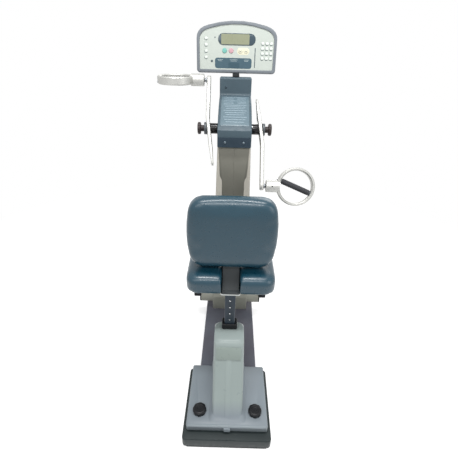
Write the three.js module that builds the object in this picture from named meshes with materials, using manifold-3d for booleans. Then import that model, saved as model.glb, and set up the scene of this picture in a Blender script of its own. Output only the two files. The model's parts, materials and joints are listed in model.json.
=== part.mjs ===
// Arm ergometer: a hand crank on a narrow column, a console above it, and a seat on its own pedestal.
// Millimetres, +Z up, +Y from the seat towards the column, +X to the seated user's right.
import * as THREE from "three";
import { mergeVertices } from "three/addons/utils/BufferGeometryUtils.js";
import Module from "manifold-3d";

const wasm = await Module();
wasm.setup();

// Clearances and overruns
const FIT = 0.3; // between pieces that touch
const RUN = 0.6; // round what slides or turns
const OVERRUN = 6; // how far a cut runs past what it cuts
const WELD = 0.001; // points closer than this are one

// Base
const SLAB_WIDTH = 360;
const SLAB_LENGTH = 330;
const SLAB_TOP = 57;
const SLAB_CORNER = 14;
const SLAB_EDGE = 2.5;
const SLAB_WALL = 6;
const REAR_FOOT_WIDTH = 330;
const REAR_FOOT_DEPTH = 40;
const REAR_FOOT_HEIGHT = 8;
const REAR_FOOT_INSET = 2;
const REAR_FOOT_CORNER = 5;
const DECK_WIDTH = 267;
const DECK_LENGTH = 876; // from the slab to the stabiliser, with a clearance at each end
const DECK_TOP = 70;
const DECK_WALL = 4;
const DECK_DEPTH = 46;
const DECK_BEND = 6;
const STABILISER_WIDTH = 520;
const STABILISER_DEPTH = 62;
const STABILISER_HEIGHT = 52;
const STABILISER_REACH = 12; // from its front face to the wheels' front
const STABILISER_WALL = 8;
const STABILISER_CORNER = 5;
const STABILISER_EDGE = 3;
const FRONT_FOOT_HEIGHT = 8;
const FRONT_FOOT_WIDTH = 300;
const FRONT_FOOT_DEPTH = 40;
const WHEEL_RADIUS = 28;
const WHEEL_WIDTH = 20;
const WHEEL_SPACING = 400;
const WHEEL_LIFT = 6;
const WHEEL_CROWN = 4;
const WHEEL_GAP = 2;
const WHEEL_CHEEK = 9;
const WHEEL_ROD_RADIUS = 5;

// Seat pedestal
const COVER_WIDTH = 332;
const COVER_REAR_SETBACK = 38;
const COVER_LENGTH = 284;
const COVER_TOP = 94;
const COVER_CORNER = 6;
const COVER_ROUND = 6;
const COVER_LIP = 7;
const SHELL_WALL = 4;
const TAB_WIDTH = 28;
const TAB_HEIGHT = 22;
const TAB_REACH = 10;
const POST_SETBACK = 318; // the post's centre, from the base's rear end, as are the next setbacks
const NECK_WIDTH = 126;
const NECK_CORNER = 16;
const NECK_CROWN_CORNER = 34;
const NECK_FRONT_SETBACK = 345;
const NECK_FOOT_SETBACK = 61;
const NECK_SHOULDER_SETBACK = 220;
const NECK_SHOULDER_HEIGHT = 340;
const NECK_CROWN_SETBACK = 240;
const NECK_TOP = 362;
const NECK_FILLET = 14;
const RIB_WIDTH = 34;
const RIB_CORNER = 12;
const RIB_RISE = 3;
const GUIDE_WALL = 4;
const GUIDE_LENGTH = 170;
const KNOB_SPACING = 231;
const KNOB_SETBACK = 98;
const BASE_KNOB_RADIUS = 28;
const BASE_KNOB_HEIGHT = 17;
const BASE_KNOB_CROWN = 3;
const BASE_KNOB_FLUTES = 8;
const BASE_KNOB_FLUTE_RADIUS = 5;
const BASE_KNOB_STUD_RADIUS = 5;
const BASE_KNOB_STUD_LENGTH = 44;
const STUD_BOSS_WALL = 5;

// Seat post and what it carries
const POST_WIDTH = 44;
const POST_DEPTH = 28;
const POST_CORNER = 4;
const POST_WALL = 3.5;
const POST_LENGTH = 400;
const POST_TOP = 547.7;
const INDEX_PITCH = 35;
const INDEX_RADIUS = 5.5;
const INDEX_COUNT = 9;
const INDEX_FIRST_DROP = 33;
const BUSHING_WIDTH = 66;
const BUSHING_DEPTH = 44;
const BUSHING_HEIGHT = 28;
const BUSHING_CORNER = 8;
const BUSHING_EDGE = 2.5;
const PIN_HEIGHT = 340;
const PIN_RADIUS = 5;
const PIN_KNOB_RADIUS = 17;
const PIN_KNOB_NECK_RADIUS = 9;
const PIN_KNOB_LENGTH = 26;
const PIN_BOSS_RADIUS = 14;
const PIN_BOSS_LENGTH = 14;
const CARRIER_WIDTH = 81;
const CARRIER_THICK = 7;
const CARRIER_SETBACK = 301;
const CARRIER_LENGTH = 260;
const CARRIER_CORNER = 10;
const SEAT_WIDTH = 362;
const SEAT_SETBACK = 293;
const SEAT_LENGTH = 392;
const SEAT_THICK = 82;
const SEAT_CORNER = 46;
const SEAT_NOTCH_WIDTH = 77;
const SEAT_NOTCH_DEPTH = 104;
const SEAT_NOTCH_CORNER = 16;
const BRACKET_WIDTH = 70;
const BRACKET_THICK = 24;
const BRACKET_EDGE = 2;
const BRACKET_FOOT_SETBACK = 326;
const BRACKET_BURIED = 110;
const BRACKET_FOOT_LENGTH = 50;
const BRACKET_FOOT_THICK = 8;
const BACKREST_WIDTH = 345;
const BACKREST_LIFT = 99.7; // above the underside of the seat
const BACKREST_HEIGHT = 289;
const BACKREST_SETBACK = 338;
const BACKREST_THICK = 78;
const BACKREST_CORNER = 44;
// How far each ring of a cushion is drawn in, and how far up it lies, both as shares of its thickness
const SEAT_RING_SHARES = [
  [0.17, 0], [0.05, 0.05], [0, 0.16], [0.02, 0.36], [0.03, 0.46], [0, 0.58],
  [0.02, 0.72], [0.09, 0.84], [0.22, 0.92], [0.5, 0.965], [1, 0.99], [1.5, 1],
];
const BACKREST_RING_SHARES = [
  [0.62, 0], [0.3, 0.02], [0.13, 0.08], [0.04, 0.18], [0, 0.32], [0.02, 0.52],
  [0, 0.74], [0.04, 0.87], [0.13, 0.95], [0.36, 0.99], [1, 1],
];
const BARREL_SHARE = 0.1; // how much narrower the backrest is at its top and bottom

// Footrest
const REST_WIDTH = 194;
const REST_LENGTH = 115;
const REST_TOP = 185;
const REST_WALL = 6;
const REST_CHAMFER = 28;
const REST_EDGE = 3;
const BAR_RADIUS = 31.5;
const BAR_WALL = 3;
const BAR_SIDES = 20; // the bar and the bore round it need the same number of faces
const BAR_LENGTH = 330;
const BAR_SETBACK = 79; // from the column's rear face
const BAR_HEIGHT = 138;
const FOOT_PAD_WIDTH = 40;
const FOOT_PAD_DEPTH = 52;
const FOOT_PAD_THICK = 36;
const FOOT_PAD_LIFT = 29;
const FOOT_PAD_CORNER = 8;
const FOOT_CAP_THICK = 6;
const FOOT_SPIGOT = 24;

// Column
const COLUMN_SETBACK = 435; // its rear face, from the base's front end
const COLUMN_TOP = 996.7;
const COLUMN_WALL = 3;
const COLUMN_CORNER = 14;
const COLUMN_SHOULDER_DROP = 126.7; // from the column's top, as are the next drops
const COLUMN_WAIST_DROP = 296.7;
const COLUMN_FOOT_WIDTH = 192;
const COLUMN_WAIST_WIDTH = 180;
const COLUMN_SHOULDER_WIDTH = 168;
const COLUMN_TOP_WIDTH = 161;
const COLUMN_FLARE = 20; // how much deeper its foot is than its top
const COLUMN_TOP_DEPTH = 245;
const STRIP_HEAD_WIDTH = 148; // under the housing, from where it tapers to its step
const STRIP_TOP_WIDTH = 136;
const STRIP_FOOT_WIDTH = 112;
const STRIP_SHOULDER_DROP = 134.7;
const STRIP_STEP_DROP = 46;
const FRONT_STRIP_WIDTH = 120;
const SEAM_WIDTH = 1.6;
const SEAM_DEPTH = 1;
const HOUSING_WIDTH = 161;
const HOUSING_WALL = 3;
const HOUSING_EDGE = 3;
const HOUSING_OVERHANG = 9; // rearward of the column's rear face
const HOUSING_KNEE_RISE = 80.3; // above the column's top, as are the next rises: its upright rear face ends
const HOUSING_BROW_DEPTH = 235; // forward of the column's rear face, as are the next depths
const HOUSING_BROW_RISE = 195.3; // its sloped face ends
const HOUSING_UPPER_REAR_DEPTH = 253;
const HOUSING_UPPER_FRONT_DEPTH = 325;
const HOUSING_TOP_RISE = 279.3;
const HOUSING_ROUND = 8;
const SERVICE_WIDTH = 156;
const SERVICE_RISE = 4.3;
const SERVICE_HEIGHT = 44;
const SERVICE_THICK = 3;
const SERVICE_CORNER = 4;
const SERVICE_SCREW_SPACING = 88;
const SERVICE_SCREW_RADIUS = 4.5;
const SERVICE_SCREW_HEIGHT = 1.4;
const FRAME_WIDTH = 60;
const FRAME_DEPTH = 70;
const FRAME_PLACE_DEPTH = 100;
const FRAME_WALL = 3;
const FRAME_TOP_RISE = 111.3;
const FLANGE_WIDTH = 150;
const FLANGE_DEPTH = 160;
const FLANGE_THICK = 10;
const NECK_ARM_WIDTH = 44;
const NECK_ARM_THICK = 32;
const BEARING_TUBE_WALL = 5;
const BEARING_TUBE_LENGTH = 76;

// Crank and brake
const AXLE_PLACE_DEPTH = 85;
const AXLE_RISE = 66.8;
const AXLE_RADIUS = 12.5;
const AXLE_LENGTH = 224;
const BEARING_RADIUS = 23.5;
const BEARING_WIDTH = 12;
const BEARING_SPACING = 60;
const PULLEY_PLACE = 56; // the belt's middle, along X
const PULLEY_WIDTH = 18;
const PULLEY_FLANGE = 4;
const HUB_RADIUS = 25;
const DRIVE_GROOVE = 50;
const DRIVE_RATIO = 3;
const BELT_WIDTH = 11;
const BELT_THICK = 3;
const BRAKE_PLACE_DEPTH = 120;
const BRAKE_DROP = 263.5; // below the axle
const BRAKE_SHAFT_RADIUS = 8;
const BRAKE_BEARING_RADIUS = 16;
const FLYWHEEL_PLACE = -57;
const FLYWHEEL_RADIUS = 105;
const FLYWHEEL_WIDTH = 18;
const FLYWHEEL_WEB = 8;
const FLYWHEEL_RIM = 22;
const FLYWHEEL_HUB = 20;
const YOKE_GAP = 4;
const YOKE_WALL = 7;
const YOKE_DEPTH = 60;
const YOKE_GRASP = 30; // how far it reaches up the flywheel's rim

// Crank arms, their clamps and the ring handles
const HUB_START = 70; // along X, as are the next stations
const ARM_MIDDLE = 126.5;
const STUB_END = 146;
const FLANGE_END = 148;
const KNOB_NECK_END = 164.5;
const KNOB_END = 181;
const BOSS_START = 157;
const RING_PLACE = 299;
const ARM_THICK = 18;
const ARM_WIDTH = 46;
const ARM_EDGE = 5;
const ARM_END_RADIUS = 21;
const ARM_INCLINE = THREE.MathUtils.degToRad(7.5);
const ARM_BEND = 47; // from the axle, along the arm, as are the next places
const ARM_PIVOT = 250;
const ARM_TAPER = -98;
const ARM_TAIL = -187;
const ARM_TAIL_RADIUS = 13;
const ARM_TAIL_THICK = 9;
const TAIL_STOP_RADIUS = 5;
const TAIL_STOP_RISE = 2.5;
const SLIDE_TRAVEL = 64;
const RIGHT_ARM_SHIFT = 32;
const STUB_WIDTH = 22;
const STUB_LENGTH = 26;
const SLOT_PLAY = 3;
const SLOT_CORNER = 4;
const CRANK_ANGLE = THREE.MathUtils.degToRad(36.4);
const FLANGE_RADIUS = 29;
const CLAMP_ROD_RADIUS = 6;
const CLAMP_ROD_LENGTH = 32;
const CLAMP_NECK_RADIUS = 15;
const CLAMP_KNOB_RADIUS = 28.5;
const CLAMP_KNOB_CROWN = 3.5;
const CLAMP_FLUTES = 8;
const CLAMP_FLUTE_RADIUS = 5;
const SPINDLE_RADIUS = 8;
const SPINDLE_COLLAR_RADIUS = 12;
const SPINDLE_COLLAR_LENGTH = 7;
const SPINDLE_REACH = 49; // from the collar's face into the boss
const BOSS_RADIUS = 29;
const BOSS_WALL_END = 5;
const BOSS_EDGE = 2.5;
const SET_SCREW_RADIUS = 3.5;
const RING_RADIUS = 91.5;
const RING_BAND = 14;
const RING_WIDTH = 38;
const RING_EDGE = 5;
const RING_SIDES = 36; // the ring's inside and the grip's ends need the same number of faces
const GRIP_RADIUS = 13.5;
const GRIP_WAIST = 12.6;
const FERRULE_RADIUS = 15;
const FERRULE_LENGTH = 11;
const GRIP_SLANT = THREE.MathUtils.degToRad(23);
const RIGHT_RING_TILT = THREE.MathUtils.degToRad(70);

// Console, drawn on its own face: x across, y up, z out towards the user
const CONSOLE_REACH = 30; // forward of the housing
const CONSOLE_LIFT = 15; // above the housing
const CONSOLE_LEAN = THREE.MathUtils.degToRad(10);
const CONSOLE_WIDTH = 413;
const CONSOLE_FOOT_WIDTH = 411;
const CONSOLE_SHOULDER = 219;
const CONSOLE_CROWN = 239;
const CONSOLE_DEPTH = 34;
const CONSOLE_FOOT_CORNER = 16;
const CONSOLE_TOP_CORNER = 60;
const CONSOLE_WALL = 3;
const CONSOLE_EDGE = 3;
const BEZEL_WIDTH = 15;
const BEZEL_DEPTH = 14;
const PANEL_SINK = 4;
const PANEL_THICK = 9;
const WINDOW_WIDTH = 192;
const WINDOW_DEPTH = 54;
const WINDOW_HEIGHT = 156;
const WINDOW_THICK = 1.6;
const WINDOW_CORNER = 26;
const KEY_HEIGHT = 104;
const KEY_DEPTH = 8;
const KEY_RISE = 3;
const KEY_PLAY = 0.4;
const KEY_EDGE = 1;
const START_KEY_X = -62;
const STOP_KEY_X = -28;
const DOWN_KEY_X = 20;
const UP_KEY_X = 49;
const LARGE_KEY_RADIUS = 12;
const SMALL_KEY_RADIUS = 11.5;
const ROUND_KEYS = [
  { name: "start_key", colour: "start", x: START_KEY_X, radius: LARGE_KEY_RADIUS },
  { name: "stop_key", colour: "stop", x: STOP_KEY_X, radius: LARGE_KEY_RADIUS },
  { name: "arrow_key_down", colour: "arrow", x: DOWN_KEY_X, radius: SMALL_KEY_RADIUS },
  { name: "arrow_key_up", colour: "arrow", x: UP_KEY_X, radius: SMALL_KEY_RADIUS },
];
const DOME_RISE = 1.2;
const DOME_WIDTH = 15;
const DOME_DEPTH = 12;
const KEYPAD_X = 156;
const KEYPAD_Y = 105;
const KEYPAD_PITCH_X = 22;
const KEYPAD_PITCH_Y = 23;
const SIDE_KEYS_X = -157;
const SIDE_KEYS_Y = 115;
const SIDE_KEYS_PITCH = 29;
const CONSOLE_NECK_WIDTH = 35;
const CONSOLE_NECK_SETBACK = 35; // from the housing's front
const CONSOLE_NECK_PLATE = 14;
const CONSOLE_NECK_RISE = 115;

// Sizes that follow from those above
const BASE_LENGTH = SLAB_LENGTH + DECK_LENGTH + STABILISER_DEPTH + STABILISER_REACH;
const REAR_END = -BASE_LENGTH / 2;
const FRONT_END = BASE_LENGTH / 2;
const SLAB_FRONT = REAR_END + SLAB_LENGTH;
const POST_PLACE = REAR_END + POST_SETBACK;
const NECK_FRONT = REAR_END + NECK_FRONT_SETBACK;
const NECK_FOOT_REAR = REAR_END + NECK_FOOT_SETBACK;
const NECK_SHOULDER_REAR = REAR_END + NECK_SHOULDER_SETBACK;
const NECK_CROWN_REAR = REAR_END + NECK_CROWN_SETBACK;
const KNOB_PLACE = REAR_END + KNOB_SETBACK;
const CARRIER_REAR = REAR_END + CARRIER_SETBACK;
const SEAT_REAR = REAR_END + SEAT_SETBACK;
const BRACKET_FOOT_PLACE = REAR_END + BRACKET_FOOT_SETBACK;
const BACKREST_REAR = REAR_END + BACKREST_SETBACK;
const COLUMN_REAR = FRONT_END - COLUMN_SETBACK;
const COLUMN_FOOT_DEPTH = COLUMN_TOP_DEPTH + COLUMN_FLARE;
const REST_REAR = COLUMN_REAR - REST_LENGTH;
const BAR_PLACE = COLUMN_REAR - BAR_SETBACK;
const COLUMN_SHOULDER = COLUMN_TOP - COLUMN_SHOULDER_DROP;
const COLUMN_WAIST = COLUMN_TOP - COLUMN_WAIST_DROP;
const STRIP_STEP_TOP = COLUMN_TOP - STRIP_SHOULDER_DROP;
const HOUSING_REAR = COLUMN_REAR - HOUSING_OVERHANG;
const HOUSING_BROW_REAR = COLUMN_REAR + HOUSING_BROW_DEPTH;
const HOUSING_UPPER_REAR = COLUMN_REAR + HOUSING_UPPER_REAR_DEPTH;
const HOUSING_UPPER_FRONT = COLUMN_REAR + HOUSING_UPPER_FRONT_DEPTH;
const HOUSING_KNEE = COLUMN_TOP + HOUSING_KNEE_RISE;
const HOUSING_BROW = COLUMN_TOP + HOUSING_BROW_RISE;
const HOUSING_TOP = COLUMN_TOP + HOUSING_TOP_RISE;
const SERVICE_BOTTOM = COLUMN_TOP + SERVICE_RISE;
const FRAME_PLACE = COLUMN_REAR + FRAME_PLACE_DEPTH;
const FRAME_TOP = COLUMN_TOP + FRAME_TOP_RISE;
const AXLE_PLACE = COLUMN_REAR + AXLE_PLACE_DEPTH;
const AXLE_HEIGHT = COLUMN_TOP + AXLE_RISE;
const BRAKE_PLACE = COLUMN_REAR + BRAKE_PLACE_DEPTH;
const BRAKE_HEIGHT = AXLE_HEIGHT - BRAKE_DROP;
const CONSOLE_PLACE = HOUSING_UPPER_FRONT + CONSOLE_REACH;
const CONSOLE_HEIGHT = HOUSING_TOP + CONSOLE_LIFT;
const CONSOLE_NECK_REAR = HOUSING_UPPER_FRONT - CONSOLE_NECK_SETBACK;
const STABILISER_FRONT = FRONT_END - STABILISER_REACH;
const STABILISER_REAR = STABILISER_FRONT - STABILISER_DEPTH;
const STABILISER_BOTTOM = FRONT_FOOT_HEIGHT + FIT;
const WHEEL_PLACE = FRONT_END - WHEEL_RADIUS;
const WHEEL_HEIGHT = WHEEL_LIFT + WHEEL_RADIUS;
const COVER_REAR = REAR_END + COVER_REAR_SETBACK;
const COVER_FRONT = COVER_REAR + COVER_LENGTH;
const CARRIER_TOP = POST_TOP + FIT + CARRIER_THICK;
const SEAT_BOTTOM = CARRIER_TOP + FIT;
const BACKREST_BOTTOM = SEAT_BOTTOM + BACKREST_LIFT;
const SEAT_NOTCH_END = SEAT_REAR + SEAT_NOTCH_DEPTH;
const BACKREST_PLACE = BACKREST_REAR + BACKREST_THICK / 2;
const BRAKE_GROOVE = (DRIVE_GROOVE + FIT + BELT_THICK / 2) / DRIVE_RATIO - FIT - BELT_THICK / 2;
const FRAME_FLOOR = DECK_TOP + FIT;
const GUIDE_HALF_WIDTH = POST_WIDTH / 2 + RUN;
const GUIDE_HALF_DEPTH = POST_DEPTH / 2 + RUN;

const COLOURS = {
  slab: 0x3f4a4a,
  deck: 0x6f7480,
  rubber: 0x26282b,
  pedestal: 0x9ea9a6,
  knob: 0x32343c,
  post: 0x3f4a55,
  plate: 0xc4c8ca,
  vinyl: 0x3f5866,
  bracket: 0x43474a,
  steel: 0x9a9ea3,
  slate: 0x52616d,
  panel: 0xc9c6bc,
  strip: 0x8d8b82,
  polished: 0xd2d4d6,
  grip: 0x4a4b4f,
  bezel: 0x7d8288,
  face: 0xdfe8e0,
  window: 0x4f6170,
  start: 0x2f9c8c,
  stop: 0xd0566a,
  arrow: 0xd9d3b4,
  tube: 0x8f9089,
};

const group = new THREE.Group();

// Closed solids and their booleans
function toSolid(geometry) {
  const bare = geometry.index ? geometry.toNonIndexed() : geometry.clone();
  bare.deleteAttribute("normal");
  bare.deleteAttribute("uv");
  const merged = mergeVertices(bare, WELD);
  return new wasm.Manifold(
    new wasm.Mesh({
      numProp: 3,
      vertProperties: merged.attributes.position.array,
      triVerts: new Uint32Array(merged.index.array),
    }),
  );
}

function toGeometry(made) {
  const mesh = made.getMesh();
  const geometry = new THREE.BufferGeometry();
  geometry.setAttribute("position", new THREE.BufferAttribute(new Float32Array(mesh.vertProperties), 3));
  geometry.setIndex(new THREE.BufferAttribute(new Uint32Array(mesh.triVerts), 1));
  return geometry;
}

function cut(body, ...tools) {
  return toGeometry(tools.reduce((left, tool) => left.subtract(toSolid(tool)), toSolid(body)));
}

function join(body, ...others) {
  return toGeometry(others.reduce((left, other) => left.add(toSolid(other)), toSolid(body)));
}

function common(body, other) {
  return toGeometry(toSolid(body).intersect(toSolid(other)));
}

function place(name, geometry, colour, metalness = 0, roughness = 0.6) {
  const material = new THREE.MeshStandardMaterial({ color: COLOURS[colour], metalness, roughness });
  const flat = geometry.index ? geometry.toNonIndexed() : geometry.clone();
  flat.computeVertexNormals();
  const mesh = new THREE.Mesh(flat, material);
  mesh.name = name;
  group.add(mesh);
}

// Shapes
function box(x, y, z) {
  const [x0, x1] = x;
  const [y0, y1] = y;
  const [z0, z1] = z;
  const made = new THREE.BoxGeometry(x1 - x0, y1 - y0, z1 - z0);
  return made.translate((x0 + x1) / 2, (y0 + y1) / 2, (z0 + z1) / 2);
}

function roundedRectangle(x, y, radius) {
  const [x0, x1] = x;
  const [y0, y1] = y;
  const shape = new THREE.Shape();
  shape.moveTo(x0 + radius, y0);
  shape.lineTo(x1 - radius, y0);
  shape.absarc(x1 - radius, y0 + radius, radius, -Math.PI / 2, 0);
  shape.lineTo(x1, y1 - radius);
  shape.absarc(x1 - radius, y1 - radius, radius, 0, Math.PI / 2);
  shape.lineTo(x0 + radius, y1);
  shape.absarc(x0 + radius, y1 - radius, radius, Math.PI / 2, Math.PI);
  shape.lineTo(x0, y0 + radius);
  shape.absarc(x0 + radius, y0 + radius, radius, Math.PI, Math.PI * 1.5);
  return shape;
}

function outline(points) {
  return new THREE.Shape(points.map(([x, y]) => new THREE.Vector2(x, y)));
}

// A prism of an outline, standing on local z = 0, with its edges broken by `edge` and its size kept
function prism(shape, height, edge = 0, curveSegments = 4) {
  const made = new THREE.ExtrudeGeometry(shape, {
    depth: height - 2 * edge,
    bevelEnabled: edge > 0,
    bevelThickness: edge,
    bevelSize: edge,
    bevelOffset: -edge,
    bevelSegments: 1,
    curveSegments,
    steps: 1,
  });
  return made.translate(0, 0, edge);
}

// An outline drawn in (Y, Z) and extruded from x0 to x1
function prismX(shape, x0, x1, edge = 0, curveSegments = 4) {
  const turn = new THREE.Matrix4().set(0, 0, 1, x0, 1, 0, 0, 0, 0, 1, 0, 0, 0, 0, 0, 1);
  return prism(shape, x1 - x0, edge, curveSegments).applyMatrix4(turn);
}

// An outline drawn in (X, Z) and extruded from y0 to y1
function prismY(shape, y0, y1, edge = 0, curveSegments = 4) {
  const made = prism(shape, y1 - y0, edge, curveSegments).rotateX(Math.PI / 2);
  return made.translate(0, y1, 0);
}

// A body of revolution about Z from points of (radius, height), facing out whichever way they run
function lathe(points, segments = 20) {
  const area = points.reduce((sum, [r, h], i) => {
    const [nextR, nextH] = points[(i + 1) % points.length];
    return sum + r * nextH - nextR * h;
  }, 0);
  const ordered = area > 0 ? points : [...points].reverse();
  const closed = ordered[0][0] > 0 ? [...ordered, ordered[0]] : ordered;
  const made = new THREE.LatheGeometry(closed.map(([r, h]) => new THREE.Vector2(r, h)), segments);
  return made.rotateX(Math.PI / 2);
}

function rod(radius, z0, z1, segments = 16) {
  return lathe([[0, z0], [radius, z0], [radius, z1], [0, z1]], segments);
}

function alongX(geometry, y = 0, z = 0) {
  return geometry.rotateY(Math.PI / 2).translate(0, y, z);
}

function alongY(geometry, x = 0, z = 0) {
  return geometry.rotateX(-Math.PI / 2).translate(x, 0, z);
}

// A closed skin through rings of points, each capped from its middle
function loft(rings) {
  const count = rings[0].length;
  const middle = (ring) => ring.reduce((sum, p) => sum.add(p), new THREE.Vector3()).divideScalar(count);
  const points = [...rings.flat(), middle(rings[0]), middle(rings.at(-1))];
  const first = rings.length * count;
  const faces = [];
  for (let k = 0; k + 1 < rings.length; k += 1) {
    for (let i = 0; i < count; i += 1) {
      const a = k * count + i;
      const b = k * count + ((i + 1) % count);
      faces.push([a, b, b + count], [a, b + count, a + count]);
    }
  }
  for (let i = 0; i < count; i += 1) {
    const next = (i + 1) % count;
    faces.push([first, next, i], [first + 1, first - count + i, first - count + next]);
  }
  const volume = faces.reduce((sum, [a, b, c]) => {
    return sum + points[a].dot(new THREE.Vector3().crossVectors(points[b], points[c]));
  }, 0);
  const ordered = volume > 0 ? faces : faces.map(([a, b, c]) => [a, c, b]);
  const geometry = new THREE.BufferGeometry().setFromPoints(points);
  return geometry.setIndex(ordered.flat());
}

// A level ring of a rounded rectangle, for lofts that rise along Z
function levelRing(halfWidth, y0, y1, z, corner, steps = 4, sideSteps = 1) {
  const innerX = halfWidth - corner;
  const [low, high] = [y0 + corner, y1 - corner];
  const corners = [[innerX, low], [innerX, high], [-innerX, high], [-innerX, low]];
  return corners.flatMap(([x, y], quarter) => {
    const arc = Array.from({ length: steps + 1 }, (_, i) => {
      const angle = (quarter - 1 + i / steps) * (Math.PI / 2);
      return new THREE.Vector3(x + corner * Math.cos(angle), y + corner * Math.sin(angle), z);
    });
    if (quarter % 2) return arc;
    const onward = quarter ? low - high : high - low;
    const side = Array.from({ length: sideSteps - 1 }, (_, i) => {
      return arc.at(-1).clone().setY(y + (onward * (i + 1)) / sideSteps);
    });
    return [...arc, ...side];
  });
}

function halfSpan(width) {
  return [-width / 2, width / 2];
}

function around(middle, width) {
  return [middle - width / 2, middle + width / 2];
}

function eachSide(make) {
  return [-1, 1].map(make);
}

// Base: plinth, deck, stabiliser, feet and transport wheels
function makeSlab() {
  const bottom = REAR_FOOT_HEIGHT + FIT;
  const outer = prism(
    roundedRectangle(halfSpan(SLAB_WIDTH), [REAR_END, SLAB_FRONT], SLAB_CORNER),
    SLAB_TOP - bottom,
    SLAB_EDGE,
  ).translate(0, 0, bottom);
  const pocket = box(
    halfSpan(SLAB_WIDTH - 2 * SLAB_WALL),
    [REAR_END + SLAB_WALL, SLAB_FRONT - SLAB_WALL],
    [bottom - OVERRUN, SLAB_TOP - SLAB_WALL],
  );
  const studHoles = eachSide((side) => {
    const hole = rod(BASE_KNOB_STUD_RADIUS + RUN, SLAB_TOP - SLAB_WALL - OVERRUN, SLAB_TOP + OVERRUN, 16);
    return hole.translate((side * KNOB_SPACING) / 2, KNOB_PLACE, 0);
  });
  place("base_slab", cut(outer, pocket, ...studHoles), "slab", 0.2, 0.6);
}

function makeRearFoot() {
  const strip = prism(
    roundedRectangle(
      halfSpan(REAR_FOOT_WIDTH),
      [REAR_END + REAR_FOOT_INSET, REAR_END + REAR_FOOT_INSET + REAR_FOOT_DEPTH],
      REAR_FOOT_CORNER,
    ),
    REAR_FOOT_HEIGHT,
    0,
    2,
  );
  place("rear_rubber_foot", strip, "rubber", 0, 0.9);
}

function makeDeck() {
  const bottom = DECK_TOP - DECK_DEPTH;
  const ends = [SLAB_FRONT + FIT, STABILISER_REAR - FIT];
  const skin = roundedRectangle(halfSpan(DECK_WIDTH), [bottom - DECK_BEND, DECK_TOP], DECK_BEND);
  const channel = cut(
    prismY(skin, ...ends),
    box(
      halfSpan(DECK_WIDTH - 2 * DECK_WALL),
      [ends[0] - OVERRUN, ends[1] + OVERRUN],
      [bottom - 2 * DECK_BEND, DECK_TOP - DECK_WALL],
    ),
    box(
      halfSpan(DECK_WIDTH + 2 * OVERRUN),
      [ends[0] - OVERRUN, ends[1] + OVERRUN],
      [bottom - 2 * DECK_BEND, bottom],
    ),
  );
  place("deck_beam", channel, "deck", 0.3, 0.5);
}

function makeStabiliser() {
  const top = STABILISER_BOTTOM + STABILISER_HEIGHT;
  const skin = roundedRectangle(
    [STABILISER_REAR, STABILISER_FRONT],
    [STABILISER_BOTTOM, top],
    STABILISER_CORNER,
  );
  const slotHalf = WHEEL_WIDTH / 2 + WHEEL_GAP;
  const cheekOuter = WHEEL_SPACING / 2 + slotHalf + WHEEL_CHEEK;
  const cheekInner = WHEEL_SPACING / 2 - slotHalf - WHEEL_CHEEK;
  const end = STABILISER_WIDTH / 2 - STABILISER_WALL;
  const stretches = [[-end, -cheekOuter], [-cheekInner, cheekInner], [cheekOuter, end]];
  const pockets = stretches.map((stretch) => {
    return box(
      stretch,
      [STABILISER_REAR + STABILISER_WALL, STABILISER_FRONT - STABILISER_WALL],
      [STABILISER_BOTTOM - OVERRUN, top - STABILISER_WALL],
    );
  });
  const slots = eachSide((side) => {
    return box(
      around((side * WHEEL_SPACING) / 2, 2 * slotHalf),
      [WHEEL_PLACE - WHEEL_RADIUS - WHEEL_GAP, FRONT_END + OVERRUN],
      [STABILISER_BOTTOM - OVERRUN, top + OVERRUN],
    );
  });
  const rodHole = alongX(rod(WHEEL_ROD_RADIUS + RUN, -wheelRodEnd() - RUN, wheelRodEnd() + RUN, 16));
  rodHole.translate(0, WHEEL_PLACE, WHEEL_HEIGHT);
  const bar = prismX(skin, ...halfSpan(STABILISER_WIDTH), STABILISER_EDGE, 3);
  place("front_stabiliser", cut(bar, ...pockets, ...slots, rodHole), "slab", 0.2, 0.6);
}

function makeFrontFoot() {
  const strip = prism(
    roundedRectangle(
      halfSpan(FRONT_FOOT_WIDTH),
      [STABILISER_REAR + FIT, STABILISER_REAR + FIT + FRONT_FOOT_DEPTH],
      REAR_FOOT_CORNER,
    ),
    FRONT_FOOT_HEIGHT,
    0,
    2,
  );
  place("front_rubber_foot", strip, "rubber", 0, 0.9);
}

function wheelRodEnd() {
  return WHEEL_SPACING / 2 + WHEEL_WIDTH / 2 + WHEEL_GAP + WHEEL_CHEEK / 2;
}

// Both wheels and their rod turn as one piece
function makeWheels() {
  const half = WHEEL_WIDTH / 2;
  const wheel = [
    [WHEEL_ROD_RADIUS, -half],
    [WHEEL_RADIUS - WHEEL_CROWN, -half],
    [WHEEL_RADIUS, -half + WHEEL_CROWN],
    [WHEEL_RADIUS, half - WHEEL_CROWN],
    [WHEEL_RADIUS - WHEEL_CROWN, half],
    [WHEEL_ROD_RADIUS, half],
  ];
  const profile = [
    [0, -wheelRodEnd()],
    [WHEEL_ROD_RADIUS, -wheelRodEnd()],
    ...wheel.map(([r, h]) => [r, h - WHEEL_SPACING / 2]),
    ...wheel.map(([r, h]) => [r, h + WHEEL_SPACING / 2]),
    [WHEEL_ROD_RADIUS, wheelRodEnd()],
    [0, wheelRodEnd()],
  ];
  place("transport_wheels", alongX(lathe(profile, 20), WHEEL_PLACE, WHEEL_HEIGHT), "rubber", 0, 0.7);
}

makeSlab();
makeRearFoot();
makeDeck();
makeStabiliser();
makeFrontFoot();
makeWheels();

// Seat pedestal: the cover and the neck are one moulding
function neckRing(z, rear, inset, steps, corner = NECK_CORNER) {
  const span = [rear + inset, NECK_FRONT - inset];
  return levelRing(NECK_WIDTH / 2 - inset, ...span, z, corner - inset / 2, steps);
}

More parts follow.
